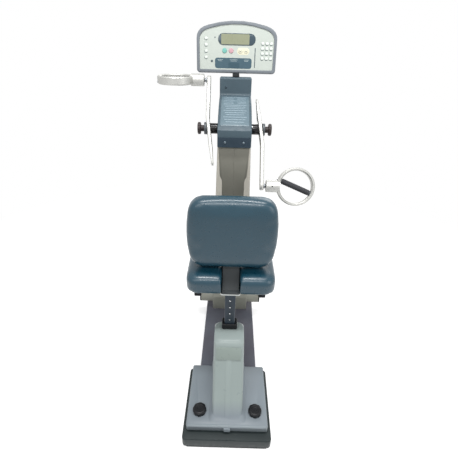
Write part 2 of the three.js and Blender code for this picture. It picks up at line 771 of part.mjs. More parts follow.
// The neck's rear face at a height: upright below the cover's top, then sloped to the shoulder
function neckRear(z) {
  const climb = (z - COVER_TOP) / (NECK_SHOULDER_HEIGHT - COVER_TOP);
  return NECK_FOOT_REAR + (NECK_SHOULDER_REAR - NECK_FOOT_REAR) * Math.min(Math.max(climb, 0), 1);
}

function neckSkin(inset, bottom, steps) {
  const filletSteps = [0, 1, 2, 3];
  const fillet = filletSteps.map((step) => {
    const angle = (step / filletSteps.at(-1)) * (Math.PI / 2);
    const z = COVER_TOP + NECK_FILLET * Math.sin(angle);
    return neckRing(z, neckRear(z), inset - NECK_FILLET * (1 - Math.sin(angle)), steps);
  });
  const crown = NECK_TOP - NECK_SHOULDER_HEIGHT;
  const lean = NECK_CROWN_REAR - NECK_SHOULDER_REAR;
  return loft([
    neckRing(bottom, NECK_FOOT_REAR, inset, steps),
    neckRing(COVER_TOP - OVERRUN, NECK_FOOT_REAR, inset, steps),
    ...fillet,
    neckRing(NECK_SHOULDER_HEIGHT - inset, NECK_SHOULDER_REAR, inset, steps),
    neckRing(NECK_SHOULDER_HEIGHT + crown / 2 - inset, NECK_SHOULDER_REAR + lean / 3, inset, steps),
    neckRing(NECK_TOP - crown / 8 - inset, NECK_CROWN_REAR - lean / 4, inset, steps, NECK_CROWN_CORNER),
    neckRing(NECK_TOP - inset, NECK_CROWN_REAR, inset + crown / 8, steps, NECK_CROWN_CORNER),
  ]);
}

function coverSkin(inset, bottom) {
  const ring = (z, drawIn) => {
    const all = inset + drawIn;
    const span = [COVER_REAR + all, COVER_FRONT - all];
    return levelRing(COVER_WIDTH / 2 - all, ...span, z, COVER_CORNER - inset / 2, 3);
  };
  const top = COVER_TOP - inset;
  const arc = [0, 1, 2, 3].map((step) => (step / 3) * (Math.PI / 2));
  const rounded = arc.map((angle) => {
    return ring(top - COVER_ROUND * (1 - Math.sin(angle)), COVER_ROUND * (1 - Math.cos(angle)));
  });
  return loft([ring(bottom, 0), ...rounded]);
}

function backRib() {
  const ring = (z) => {
    return levelRing(RIB_WIDTH / 2, neckRear(z) - RIB_RISE, NECK_FRONT - RIB_WIDTH, z, RIB_CORNER, 3);
  };
  return loft([ring(COVER_TOP - RIB_RISE), ring(COVER_TOP), ring(NECK_SHOULDER_HEIGHT)]);
}

function postTube(halfWidth, halfDepth, z0, z1) {
  const shape = roundedRectangle(
    [-halfWidth, halfWidth],
    [POST_PLACE - halfDepth, POST_PLACE + halfDepth],
    POST_CORNER,
  );
  return prism(shape, z1 - z0, 0, 3).translate(0, 0, z0);
}

function makePedestal() {
  const bottom = SLAB_TOP + FIT;
  const cover = coverSkin(0, bottom);
  const lip = alongX(rod(COVER_LIP, ...halfSpan(COVER_WIDTH - 2 * COVER_CORNER), 12));
  lip.translate(0, COVER_REAR + COVER_LIP / 3, COVER_TOP - COVER_LIP);
  const tabTop = COVER_TOP - COVER_LIP;
  const tab = prismY(
    roundedRectangle(halfSpan(TAB_WIDTH), [tabTop - TAB_HEIGHT, tabTop], TAB_REACH / 2),
    COVER_REAR - TAB_REACH,
    COVER_REAR + TAB_REACH,
    TAB_REACH / 4,
  );
  const pinBossEnd = NECK_FRONT + PIN_BOSS_LENGTH;
  const pinBoss = alongY(rod(PIN_BOSS_RADIUS, NECK_FRONT - SHELL_WALL / 2, pinBossEnd, 16), 0, PIN_HEIGHT);
  const skin = join(cover, neckSkin(0, DECK_TOP + FIT, 3), backRib(), lip, tab, pinBoss);
  const inside = neckSkin(SHELL_WALL, bottom - OVERRUN, 2);
  const hollow = cut(skin, coverSkin(SHELL_WALL, bottom - OVERRUN), inside);
  const guideFoot = NECK_TOP - GUIDE_LENGTH;
  const guide = postTube(
    GUIDE_HALF_WIDTH + GUIDE_WALL,
    GUIDE_HALF_DEPTH + GUIDE_WALL,
    guideFoot,
    NECK_TOP - SHELL_WALL / 2,
  );
  const knobPlaces = eachSide((side) => [(side * KNOB_SPACING) / 2, KNOB_PLACE]);
  const studBosses = knobPlaces.map(([x, y]) => {
    const radius = BASE_KNOB_STUD_RADIUS + RUN + STUD_BOSS_WALL;
    return rod(radius, bottom, COVER_TOP - SHELL_WALL / 2, 12).translate(x, y, 0);
  });
  const studHoles = knobPlaces.map(([x, y]) => {
    return rod(BASE_KNOB_STUD_RADIUS + RUN, bottom - OVERRUN, COVER_TOP + OVERRUN, 12).translate(x, y, 0);
  });
  const bore = postTube(GUIDE_HALF_WIDTH, GUIDE_HALF_DEPTH, guideFoot - OVERRUN, NECK_TOP + OVERRUN);
  const pinHole = alongY(rod(PIN_RADIUS + RUN, POST_PLACE, pinBossEnd + OVERRUN, 12), 0, PIN_HEIGHT);
  const whole = cut(join(hollow, guide, ...studBosses), ...studHoles, bore, pinHole);
  place("seat_pedestal", whole, "pedestal", 0.1, 0.5);
}

function makeBaseKnob(side) {
  const base = COVER_TOP + FIT;
  const top = base + BASE_KNOB_HEIGHT;
  const body = lathe([
    [0, base - BASE_KNOB_STUD_LENGTH],
    [BASE_KNOB_STUD_RADIUS, base - BASE_KNOB_STUD_LENGTH],
    [BASE_KNOB_STUD_RADIUS, base],
    [BASE_KNOB_RADIUS, base],
    [BASE_KNOB_RADIUS, top - BASE_KNOB_CROWN],
    [BASE_KNOB_RADIUS - BASE_KNOB_CROWN, top - BASE_KNOB_CROWN / 3],
    [BASE_KNOB_RADIUS / 2, top],
    [0, top],
  ], 16);
  const flutes = Array.from({ length: BASE_KNOB_FLUTES }, (_, i) => {
    const angle = ((i + 0.5) / BASE_KNOB_FLUTES) * Math.PI * 2;
    const reach = BASE_KNOB_RADIUS + BASE_KNOB_FLUTE_RADIUS / 2;
    const flute = rod(BASE_KNOB_FLUTE_RADIUS, base - OVERRUN, top + OVERRUN, 8);
    return flute.translate(reach * Math.cos(angle), reach * Math.sin(angle), 0);
  });
  const knob = cut(body, ...flutes).translate((side * KNOB_SPACING) / 2, KNOB_PLACE, 0);
  place(side < 0 ? "base_knob_left" : "base_knob_right", knob, "knob", 0, 0.5);
}

// Seat post, its guide, its pin and what rides on it
function makeBushing() {
  const shape = roundedRectangle(halfSpan(BUSHING_WIDTH), around(POST_PLACE, BUSHING_DEPTH), BUSHING_CORNER);
  const body = prism(shape, BUSHING_HEIGHT, BUSHING_EDGE, 3).translate(0, 0, NECK_TOP + FIT);
  const top = NECK_TOP + BUSHING_HEIGHT + OVERRUN;
  const bore = postTube(GUIDE_HALF_WIDTH, GUIDE_HALF_DEPTH, NECK_TOP - OVERRUN, top);
  place("post_bushing", cut(body, bore), "knob", 0, 0.6);
}

function makeSeatPost() {
  const bottom = POST_TOP - POST_LENGTH;
  const skin = postTube(POST_WIDTH / 2, POST_DEPTH / 2, bottom, POST_TOP);
  const hollow = box(
    halfSpan(POST_WIDTH - 2 * POST_WALL),
    around(POST_PLACE, POST_DEPTH - 2 * POST_WALL),
    [bottom - OVERRUN, POST_TOP + OVERRUN],
  );
  const holes = Array.from({ length: INDEX_COUNT }, (_, i) => {
    const hole = rod(INDEX_RADIUS, POST_PLACE - POST_DEPTH, POST_PLACE + POST_DEPTH, 8);
    return alongY(hole, 0, POST_TOP - INDEX_FIRST_DROP - i * INDEX_PITCH);
  });
  place("seat_post", cut(skin, hollow, ...holes), "post", 0.5, 0.45);
}

function makePostPin() {
  const tip = POST_PLACE + POST_DEPTH / 2 + RUN;
  const knobStart = NECK_FRONT + PIN_BOSS_LENGTH + FIT;
  const knobEnd = knobStart + PIN_KNOB_LENGTH;
  const pin = lathe([
    [0, tip],
    [PIN_RADIUS, tip + PIN_RADIUS / 4],
    [PIN_RADIUS, knobStart],
    [PIN_KNOB_NECK_RADIUS, knobStart],
    [PIN_KNOB_NECK_RADIUS, knobStart + PIN_KNOB_LENGTH / 3],
    [PIN_KNOB_RADIUS, knobStart + PIN_KNOB_LENGTH / 2],
    [PIN_KNOB_RADIUS, knobEnd - PIN_KNOB_LENGTH / 6],
    [PIN_KNOB_RADIUS * (2 / 3), knobEnd],
    [0, knobEnd],
  ], 16);
  place("post_pull_pin", alongY(pin, 0, PIN_HEIGHT), "knob", 0.1, 0.5);
}

function makeCarrier() {
  const span = [CARRIER_REAR, CARRIER_REAR + CARRIER_LENGTH];
  const shape = roundedRectangle(halfSpan(CARRIER_WIDTH), span, CARRIER_CORNER);
  const plate = prism(shape, CARRIER_THICK, 0, 3).translate(0, 0, POST_TOP + FIT);
  place("seat_carrier", plate, "plate", 0.7, 0.35);
}

function makeSeatPad() {
  const ring = ([inset, rise]) => {
    const all = inset * SEAT_THICK;
    const z = SEAT_BOTTOM + rise * SEAT_THICK;
    const span = [SEAT_REAR + all, SEAT_REAR + SEAT_LENGTH - all];
    return levelRing(SEAT_WIDTH / 2 - all, ...span, z, Math.max(SEAT_CORNER - all / 4, SEAT_CORNER / 4), 5);
  };
  const notch = prism(
    roundedRectangle(
      halfSpan(SEAT_NOTCH_WIDTH),
      [SEAT_REAR - SEAT_NOTCH_DEPTH, SEAT_NOTCH_END],
      SEAT_NOTCH_CORNER,
    ),
    SEAT_THICK + 2 * OVERRUN,
  ).translate(0, 0, SEAT_BOTTOM - OVERRUN);
  place("seat_pad", cut(loft(SEAT_RING_SHARES.map(ring)), notch), "vinyl", 0, 0.5);
}

function bracketOutline(grow) {
  const half = BRACKET_THICK / 2 + grow;
  const foot = SEAT_BOTTOM;
  const top = BACKREST_BOTTOM + BRACKET_BURIED + grow;
  const heel = BACKREST_BOTTOM - half;
  return outline([
    [BRACKET_FOOT_PLACE - half, foot],
    [BRACKET_FOOT_PLACE + half, foot],
    [BACKREST_PLACE + half, heel],
    [BACKREST_PLACE + half, top],
    [BACKREST_PLACE - half, top],
    [BACKREST_PLACE - half, heel],
  ]);
}

function makeBracket() {
  const upright = prismX(bracketOutline(0), ...halfSpan(BRACKET_WIDTH), BRACKET_EDGE);
  const span = [CARRIER_REAR, CARRIER_REAR + BRACKET_FOOT_LENGTH];
  const foot = box(halfSpan(BRACKET_WIDTH), span, [SEAT_BOTTOM, SEAT_BOTTOM + BRACKET_FOOT_THICK]);
  place("backrest_bracket", join(upright, foot), "bracket", 0.3, 0.5);
}

function makeBackrest() {
  const half = BACKREST_HEIGHT / 2;
  const ring = ([inset, rise]) => {
    const all = inset * BACKREST_THICK;
    const corner = Math.max(BACKREST_CORNER - all / 4, BACKREST_CORNER / 4);
    const flat = levelRing(BACKREST_WIDTH / 2 - all, -half + all, half - all, 0, corner, 5, 4);
    return flat.map((p) => {
      const barrel = 1 - BARREL_SHARE * (p.y / half) ** 2;
      const depth = BACKREST_REAR + rise * BACKREST_THICK;
      return new THREE.Vector3(p.x * barrel, depth, BACKREST_BOTTOM + half + p.y);
    });
  };
  const pocket = prismX(bracketOutline(RUN), ...halfSpan(BRACKET_WIDTH + 2 * RUN));
  place("backrest_pad", cut(loft(BACKREST_RING_SHARES.map(ring)), pocket), "vinyl", 0, 0.5);
}

makePedestal();
eachSide(makeBaseKnob);
makeBushing();
makeSeatPost();
makePostPin();
makeCarrier();
makeSeatPad();
makeBracket();
makeBackrest();

// Footrest
function makeRestBlock() {
  const bottom = DECK_TOP + FIT;
  const front = COLUMN_REAR - FIT;
  const shape = (inset) => outline([
    [REST_REAR + inset, bottom - (inset ? OVERRUN : 0)],
    [front - inset, bottom - (inset ? OVERRUN : 0)],
    [front - inset, REST_TOP - inset],
    [REST_REAR + REST_CHAMFER, REST_TOP - inset],
    [REST_REAR + inset, REST_TOP - REST_CHAMFER],
  ]);
  const block = prismX(shape(0), ...halfSpan(REST_WIDTH), REST_EDGE);
  const pocket = prismX(shape(REST_WALL), ...halfSpan(REST_WIDTH - 2 * REST_WALL));
  const across = halfSpan(REST_WIDTH + 2 * OVERRUN);
  const bore = alongX(rod(BAR_RADIUS + FIT, ...across, BAR_SIDES), BAR_PLACE, BAR_HEIGHT);
  place("footrest_block", cut(block, pocket, bore), "tube", 0.3, 0.5);
}

function makeFootBar() {
  const inner = BAR_RADIUS - BAR_WALL;
  const [left, right] = halfSpan(BAR_LENGTH);
  const profile = [[inner, left], [BAR_RADIUS, left], [BAR_RADIUS, right], [inner, right]];
  const tube = lathe(profile, BAR_SIDES);
  place("foot_bar", alongX(tube, BAR_PLACE, BAR_HEIGHT), "tube", 0.4, 0.4);
}

function makeFootPad(side) {
  const end = BAR_LENGTH / 2 + FIT;
  const spigotRadius = BAR_RADIUS - BAR_WALL - FIT;
  const plug = lathe([
    [0, end - FOOT_SPIGOT],
    [spigotRadius - FIT, end - FOOT_SPIGOT],
    [spigotRadius, end - FOOT_SPIGOT / 2],
    [spigotRadius, end],
    [BAR_RADIUS, end],
    [BAR_RADIUS, end + FOOT_CAP_THICK],
    [0, end + FOOT_CAP_THICK],
  ], BAR_SIDES);
  const pad = prismX(
    roundedRectangle(
      around(BAR_PLACE, FOOT_PAD_DEPTH),
      around(BAR_HEIGHT + FOOT_PAD_LIFT, FOOT_PAD_THICK),
      FOOT_PAD_CORNER,
    ),
    end,
    end + FOOT_PAD_WIDTH,
    REST_EDGE,
    3,
  );
  const whole = join(alongX(plug, BAR_PLACE, BAR_HEIGHT), pad);
  place(side < 0 ? "foot_pad_left" : "foot_pad_right", mirrorTo(side, whole), "rubber", 0, 0.9);
}

// A piece drawn on the right is kept there or turned over to the left
function mirrorTo(side, geometry) {
  if (side > 0) return geometry;
  const flipped = geometry.index ? geometry.toNonIndexed() : geometry.clone();
  const p = flipped.attributes.position;
  for (let i = 0; i < p.count; i += 3) {
    const [a, b, c] = [0, 1, 2].map((k) => new THREE.Vector3().fromBufferAttribute(p, i + k));
    [a, c, b].forEach((v, k) => p.setXYZ(i + k, -v.x, v.y, v.z));
  }
  return flipped;
}

// Column: panels round a steel frame
function columnSkin(inset, bottom, top) {
  const ring = (z, width, depth) => {
    const span = [COLUMN_REAR + inset, COLUMN_REAR + depth - inset];
    return levelRing(width / 2 - inset, ...span, z, COLUMN_CORNER - inset, 4);
  };
  return loft([
    ring(bottom, COLUMN_FOOT_WIDTH, COLUMN_FOOT_DEPTH),
    ring(COLUMN_WAIST, COLUMN_WAIST_WIDTH, COLUMN_FOOT_DEPTH - COLUMN_FLARE / 2),
    ring(COLUMN_SHOULDER, COLUMN_SHOULDER_WIDTH, COLUMN_TOP_DEPTH),
    ring(top, COLUMN_TOP_WIDTH, COLUMN_TOP_DEPTH),
  ]);
}

// The outline of the rear strip, which narrows below the shoulder by a smooth step
function stripOutline(grow) {
  const head = STRIP_HEAD_WIDTH / 2 + grow;
  const wide = STRIP_TOP_WIDTH / 2 + grow;
  const slim = STRIP_FOOT_WIDTH / 2 + grow;
  const bottom = DECK_TOP - OVERRUN;
  const top = COLUMN_TOP + OVERRUN;
  const stepEnd = STRIP_STEP_TOP - STRIP_STEP_DROP;
  const bend = STRIP_STEP_DROP / 2;
  const shape = new THREE.Shape();
  shape.moveTo(-slim, bottom);
  shape.lineTo(slim, bottom);
  shape.lineTo(slim, stepEnd);
  shape.bezierCurveTo(slim, stepEnd + bend, wide, STRIP_STEP_TOP - bend, wide, STRIP_STEP_TOP);
  shape.lineTo(head, top);
  shape.lineTo(-head, top);
  shape.lineTo(-wide, STRIP_STEP_TOP);
  shape.bezierCurveTo(-wide, STRIP_STEP_TOP - bend, -slim, stepEnd + bend, -slim, stepEnd);
  return shape;
}

function makeColumnPanels() {
  const bottom = DECK_TOP + FIT;
  const middle = COLUMN_REAR + COLUMN_TOP_DEPTH / 2;
  const farEnd = COLUMN_REAR + COLUMN_FOOT_DEPTH + OVERRUN;
  const shell = cut(
    columnSkin(0, bottom, COLUMN_TOP),
    columnSkin(COLUMN_WALL, bottom - OVERRUN, COLUMN_TOP + OVERRUN),
  );
  const rearStrip = (grow) => prismY(stripOutline(grow), COLUMN_REAR - OVERRUN, middle, 0, 8);
  const frontStrip = (grow) => box(
    halfSpan(FRONT_STRIP_WIDTH + 2 * grow),
    [middle, farEnd],
    [bottom - OVERRUN, COLUMN_TOP + OVERRUN],
  );
  const right = box([0, COLUMN_FOOT_WIDTH], [COLUMN_REAR - OVERRUN, farEnd], [0, HOUSING_TOP]);
  const rightHalf = common(shell, right);
  const panel = cut(rightHalf, rearStrip(FIT), frontStrip(FIT));
  eachSide((side) => {
    place(side < 0 ? "side_panel_left" : "side_panel_right", mirrorTo(side, panel), "panel", 0, 0.5);
  });
  const seam = box(
    halfSpan(SEAM_WIDTH),
    [COLUMN_REAR - SEAM_DEPTH, COLUMN_REAR + SEAM_DEPTH],
    [bottom - OVERRUN, COLUMN_TOP + OVERRUN],
  );
  place("rear_cover", cut(common(shell, rearStrip(0)), seam), "strip", 0, 0.5);
  place("front_cover", common(shell, frontStrip(0)), "strip", 0, 0.5);
}

function housingOutline(inset) {
  const foot = COLUMN_TOP + 2 * FIT - (inset > 0 ? OVERRUN : 0);
  const rear = HOUSING_REAR + inset;
  const far = HOUSING_UPPER_FRONT - inset;
  const farFoot = COLUMN_REAR + COLUMN_TOP_DEPTH - inset;
  const top = HOUSING_TOP - inset;
  const upper = HOUSING_UPPER_REAR + inset;
  const round = HOUSING_ROUND - inset;
  const brow = HOUSING_BROW - inset;
  const rise = HOUSING_BROW - HOUSING_KNEE;
  const shape = new THREE.Shape();
  shape.moveTo(rear, foot);
  shape.lineTo(farFoot, foot);
  shape.lineTo(far, top - HOUSING_ROUND);
  shape.quadraticCurveTo(far, top, far - round, top);
  shape.lineTo(upper + round, top);
  shape.quadraticCurveTo(upper, top, upper, top - round);
  shape.lineTo(upper, brow + HOUSING_ROUND * 2);
  shape.quadraticCurveTo(upper, brow, HOUSING_BROW_REAR, brow);
  shape.quadraticCurveTo(rear + rise, brow - rise / 5, rear, HOUSING_KNEE - inset);
  return shape;
}

function makeHousing() {
  const shell = cut(
    prismX(housingOutline(0), ...halfSpan(HOUSING_WIDTH), HOUSING_EDGE, 6),
    prismX(housingOutline(HOUSING_WALL), ...halfSpan(HOUSING_WIDTH - 2 * HOUSING_WALL), 0, 6),
    alongX(
      rod(HUB_RADIUS + 2 * RUN, ...halfSpan(HOUSING_WIDTH + 2 * OVERRUN), 24),
      AXLE_PLACE,
      AXLE_HEIGHT,
    ),
  );
  const seamFoot = COLUMN_REAR + COLUMN_TOP_DEPTH - (HOUSING_UPPER_FRONT - HOUSING_UPPER_REAR);
  const seamTop = (HOUSING_UPPER_FRONT + HOUSING_UPPER_REAR) / 2;
  const wide = halfSpan(HOUSING_WIDTH + 2 * OVERRUN);
  const half = (edge, shift) => prismX(outline([
    [edge, COLUMN_TOP - OVERRUN],
    [seamFoot + shift, COLUMN_TOP - OVERRUN],
    [seamTop + shift, HOUSING_TOP + OVERRUN],
    [edge, HOUSING_TOP + OVERRUN],
  ]), ...wide);
  place("top_housing_rear", common(shell, half(HOUSING_REAR - OVERRUN, 0)), "slate", 0, 0.5);
  place("top_housing_front", common(shell, half(HOUSING_UPPER_FRONT + OVERRUN, FIT)), "slate", 0, 0.5);
}

function makeServicePanel() {
  const face = HOUSING_REAR - FIT - SERVICE_THICK;
  const middle = SERVICE_BOTTOM + SERVICE_HEIGHT / 2;
  const shape = roundedRectangle(
    halfSpan(SERVICE_WIDTH),
    [SERVICE_BOTTOM, SERVICE_BOTTOM + SERVICE_HEIGHT],
    SERVICE_CORNER,
  );
  const screws = eachSide((side) => {
    const head = rod(SERVICE_SCREW_RADIUS, face - SERVICE_SCREW_HEIGHT, face + SERVICE_THICK / 2, 10);
    return alongY(head, (side * SERVICE_SCREW_SPACING) / 2, middle);
  });
  place("service_panel", join(prismY(shape, face, face + SERVICE_THICK, 0, 3), ...screws), "slate", 0, 0.5);
}

function bearingTube(y, z, radius) {
  return alongX(rod(radius + BEARING_TUBE_WALL, ...halfSpan(BEARING_TUBE_LENGTH)), y, z);
}

function bearingBore(y, z, radius) {
  return alongX(rod(radius + FIT, ...halfSpan(BEARING_TUBE_LENGTH + 2 * OVERRUN)), y, z);
}

function makeFrame() {
  const flangeTop = FRAME_FLOOR + FLANGE_THICK;
  const flange = box(halfSpan(FLANGE_WIDTH), around(FRAME_PLACE, FLANGE_DEPTH), [FRAME_FLOOR, flangeTop]);
  const mast = box(
    halfSpan(FRAME_WIDTH),
    around(FRAME_PLACE, FRAME_DEPTH),
    [flangeTop - FLANGE_THICK / 2, FRAME_TOP],
  );
  const hollow = box(
    halfSpan(FRAME_WIDTH - 2 * FRAME_WALL),
    around(FRAME_PLACE, FRAME_DEPTH - 2 * FRAME_WALL),
    [FRAME_FLOOR - OVERRUN, FRAME_TOP - FRAME_WALL],
  );
  const lean = HOUSING_UPPER_REAR + HOUSING_WALL + HOUSING_ROUND;
  const arm = prismX(outline([
    [FRAME_PLACE, FRAME_TOP - NECK_ARM_THICK],
    [FRAME_PLACE + FRAME_DEPTH / 2, FRAME_TOP - NECK_ARM_THICK],
    [lean + NECK_ARM_THICK, HOUSING_BROW],
    [lean + NECK_ARM_THICK, HOUSING_TOP - HOUSING_WALL - FIT],
    [lean, HOUSING_TOP - HOUSING_WALL - FIT],
    [lean, HOUSING_BROW],
    [FRAME_PLACE, FRAME_TOP],
  ]), ...halfSpan(NECK_ARM_WIDTH));
  const tubes = [
    [AXLE_PLACE, AXLE_HEIGHT, BEARING_RADIUS],
    [BRAKE_PLACE, BRAKE_HEIGHT, BRAKE_BEARING_RADIUS],
  ];
  const hollowMast = join(cut(join(flange, mast), hollow), arm);
  const withTubes = join(hollowMast, ...tubes.map((tube) => bearingTube(...tube)));
  place("column_frame", cut(withTubes, ...tubes.map((tube) => bearingBore(...tube))), "steel", 0.6, 0.5);
}

makeRestBlock();
makeFootBar();
eachSide(makeFootPad);
makeColumnPanels();
makeHousing();
makeServicePanel();
makeFrame();

// Drive and brake
function makeAxle() {
  const axle = rod(AXLE_RADIUS, ...halfSpan(AXLE_LENGTH));
  place("crank_axle", alongX(axle, AXLE_PLACE, AXLE_HEIGHT), "steel", 0.7, 0.35);
  const inner = AXLE_RADIUS + FIT;
  const near = (BEARING_SPACING - BEARING_WIDTH) / 2;
  const far = near + BEARING_WIDTH;
  const bearing = lathe([[inner, near], [BEARING_RADIUS, near], [BEARING_RADIUS, far], [inner, far]], 16);
  const seated = alongX(bearing, AXLE_PLACE, AXLE_HEIGHT);
  eachSide((side) => {
    place(side < 0 ? "axle_bearing_left" : "axle_bearing_right", mirrorTo(side, seated), "steel", 0.7, 0.35);
  });
}

// A grooved pulley's outline from its bore out, for a belt that lies in the groove
function pulleyProfile(bore, groove) {
  const half = PULLEY_WIDTH / 2;
  const slot = BELT_WIDTH / 2 + FIT;
  const [near, far] = [PULLEY_PLACE - half, PULLEY_PLACE + half];
  return [
    [bore, near],
    [groove + PULLEY_FLANGE, near],
    [groove + PULLEY_FLANGE, PULLEY_PLACE - slot],
    [groove, PULLEY_PLACE - slot],
    [groove, PULLEY_PLACE + slot],
    [groove + PULLEY_FLANGE, PULLEY_PLACE + slot],
    [groove + PULLEY_FLANGE, far],
    [bore, far],
  ];
}

function makePulley() {
  const disc = lathe(pulleyProfile(AXLE_RADIUS + FIT, DRIVE_GROOVE), 20);
  place("drive_pulley", alongX(disc, AXLE_PLACE, AXLE_HEIGHT), "knob", 0.1, 0.5);
}

function beltLoop(grow) {
  const [dy, dz] = [BRAKE_PLACE - AXLE_PLACE, BRAKE_HEIGHT - AXLE_HEIGHT];
  const heading = Math.atan2(dz, dy);
  const wrap = Math.acos((DRIVE_GROOVE - BRAKE_GROOVE) / Math.hypot(dy, dz));
  const big = DRIVE_GROOVE + FIT + grow;
  const small = BRAKE_GROOVE + FIT + grow;
  const arc = (y, z, radius, from, to, steps) => {
    return Array.from({ length: steps + 1 }, (_, i) => {
      const angle = from + ((to - from) * i) / steps;
      return [y + radius * Math.cos(angle), z + radius * Math.sin(angle)];
    });
  };
  return [
    ...arc(AXLE_PLACE, AXLE_HEIGHT, big, heading + wrap, heading + Math.PI * 2 - wrap, 24),
    ...arc(BRAKE_PLACE, BRAKE_HEIGHT, small, heading - wrap, heading + wrap, 12),
  ];
}

function makeBelt() {
  const loop = outline(beltLoop(BELT_THICK));
  loop.holes.push(new THREE.Path(beltLoop(FIT).map(([y, z]) => new THREE.Vector2(y, z))));
  place("drive_belt", prismX(loop, ...around(PULLEY_PLACE, BELT_WIDTH)), "rubber", 0, 0.8);
}

function makeBrake() {
  const shaftEnd = FLYWHEEL_PLACE - FLYWHEEL_WIDTH / 2 - FIT;
  const shaft = lathe([
    [0, shaftEnd],
    [BRAKE_SHAFT_RADIUS, shaftEnd],
    ...pulleyProfile(BRAKE_SHAFT_RADIUS, BRAKE_GROOVE),
    [0, PULLEY_PLACE + PULLEY_WIDTH / 2],
  ], 20);
  place("brake_shaft", alongX(shaft, BRAKE_PLACE, BRAKE_HEIGHT), "steel", 0.7, 0.35);
  const [near, far] = halfSpan(BEARING_TUBE_LENGTH);
  const inner = BRAKE_SHAFT_RADIUS + FIT;
  const sleeve = lathe(
    [[inner, near], [BRAKE_BEARING_RADIUS, near], [BRAKE_BEARING_RADIUS, far], [inner, far]],
    20,
  );
  place("brake_bearing", alongX(sleeve, BRAKE_PLACE, BRAKE_HEIGHT), "steel", 0.7, 0.35);
  const half = FLYWHEEL_WIDTH / 2;
  const web = FLYWHEEL_WEB / 2;
  const rim = FLYWHEEL_RADIUS - FLYWHEEL_RIM;
  const wheel = lathe([
    [inner, -half],
    [FLYWHEEL_HUB, -half],
    [FLYWHEEL_HUB, -web],
    [rim, -web],
    [rim, -half],
    [FLYWHEEL_RADIUS, -half],
    [FLYWHEEL_RADIUS, half],
    [rim, half],
    [rim, web],
    [FLYWHEEL_HUB, web],
    [FLYWHEEL_HUB, half],
    [inner, half],
  ], 20).translate(0, 0, FLYWHEEL_PLACE);
  place("flywheel", alongX(wheel, BRAKE_PLACE, BRAKE_HEIGHT), "steel", 0.7, 0.4);
}

function makeYoke() {
  const rimBottom = BRAKE_HEIGHT - FLYWHEEL_RADIUS;
  const slotHalf = FLYWHEEL_WIDTH / 2 + YOKE_GAP;
  const span = [FLYWHEEL_PLACE - slotHalf - YOKE_WALL, -FRAME_WIDTH / 2 - FIT];
  const block = box(
    span,
    around(FRAME_PLACE, YOKE_DEPTH),
    [rimBottom - YOKE_GAP - YOKE_WALL, rimBottom + YOKE_GRASP],
  );
  const slot = box(
    around(FLYWHEEL_PLACE, 2 * slotHalf),
    around(FRAME_PLACE, YOKE_DEPTH + 2 * OVERRUN),
    [rimBottom - YOKE_GAP, rimBottom + YOKE_GRASP + OVERRUN],
  );
  place("brake_magnet_yoke", cut(block, slot), "knob", 0.2, 0.5);
}

// Crank arms: drawn for the right, arm up, with the axle at the origin
function armPath(s) {
  return ARM_MIDDLE + Math.min(s, ARM_BEND) * Math.tan(ARM_INCLINE);
}

function armFace(side, s) {
  return ARM_MIDDLE + s * Math.tan(ARM_INCLINE) + (side * ARM_THICK) / 2;
}

// What lies beyond the arm's inner face, or short of its outer one, with the gap that touching pieces keep
function beyondArm(side) {
  const reach = ARM_WIDTH;
  const edge = side > 0 ? 0 : 2 * KNOB_END;
  const gap = side * FIT;
  const shape = outline([
    [armFace(side, -reach) + gap, -reach],
    [edge, -reach],
    [edge, reach],
    [armFace(side, reach) + gap, reach],
  ]);
  return prismY(shape, -reach, reach);
}

function armShift(side) {
  const shift = side > 0 ? RIGHT_ARM_SHIFT : 0;
  return [shift * Math.sin(ARM_INCLINE), 0, shift * Math.cos(ARM_INCLINE)];
}

function crankAngle(side) {
  return side < 0 ? -CRANK_ANGLE : Math.PI - CRANK_ANGLE;
}

function onCrank(side, geometry) {
  return mirrorTo(side, geometry).rotateX(crankAngle(side)).translate(0, AXLE_PLACE, AXLE_HEIGHT);
}

function armSkin() {
  const half = ARM_WIDTH / 2;
  const section = (s, halfWidth, halfThick) => {
    const corner = Math.min(ARM_EDGE, halfWidth * 0.9, halfThick * 0.9);
    const ring = levelRing(halfThick, -halfWidth, halfWidth, s, corner, 3);
    return ring.map((p) => p.setX(p.x + armPath(s)));
  };
  const turns = [0.85, 0.6, 0.3, 0].map((share) => (share * Math.PI) / 2);
  const tail = turns.map((angle) => {
    const s = ARM_TAIL + ARM_TAIL_RADIUS * (1 - Math.sin(angle));
    return section(s, ARM_TAIL_RADIUS * Math.cos(angle), ARM_TAIL_THICK / 2);
  });
  const end = turns.map((angle) => {
    const s = ARM_PIVOT + ARM_END_RADIUS * Math.sin(angle);
    return section(s, ARM_END_RADIUS * Math.cos(angle), ARM_THICK / 2);
  });
  return loft([
    ...tail,
    section(ARM_TAPER, half, ARM_THICK / 2),
    section(ARM_BEND, half, ARM_THICK / 2),
    section(ARM_BEND + ARM_WIDTH, (half + ARM_END_RADIUS) / 2, ARM_THICK / 2),
    ...end.reverse(),
  ]);
}

function makeArm(side) {
  const slotHalf = STUB_WIDTH / 2 + FIT;
  const slotEnd = STUB_LENGTH / 2 + SLOT_PLAY;
  const slot = prismX(
    roundedRectangle([-slotHalf, slotHalf], [-SLIDE_TRAVEL - slotEnd, slotEnd], SLOT_CORNER),
    0,
    KNOB_END,
    0,
    3,
  );
  const bore = alongX(rod(SPINDLE_RADIUS + FIT, 0, KNOB_END, 20), 0, ARM_PIVOT);
  const stopPlace = ARM_TAIL + ARM_TAIL_RADIUS;
  const stopHalf = ARM_TAIL_THICK / 2 + TAIL_STOP_RISE;
  const middle = armPath(stopPlace);
  const stop = alongX(rod(TAIL_STOP_RADIUS, middle - stopHalf, middle + stopHalf, 10), 0, stopPlace);
  const arm = join(cut(armSkin(), slot, bore), stop).translate(...armShift(side));
  place(side < 0 ? "crank_arm_left" : "crank_arm_right", onCrank(side, arm), "polished", 0.9, 0.25);
}

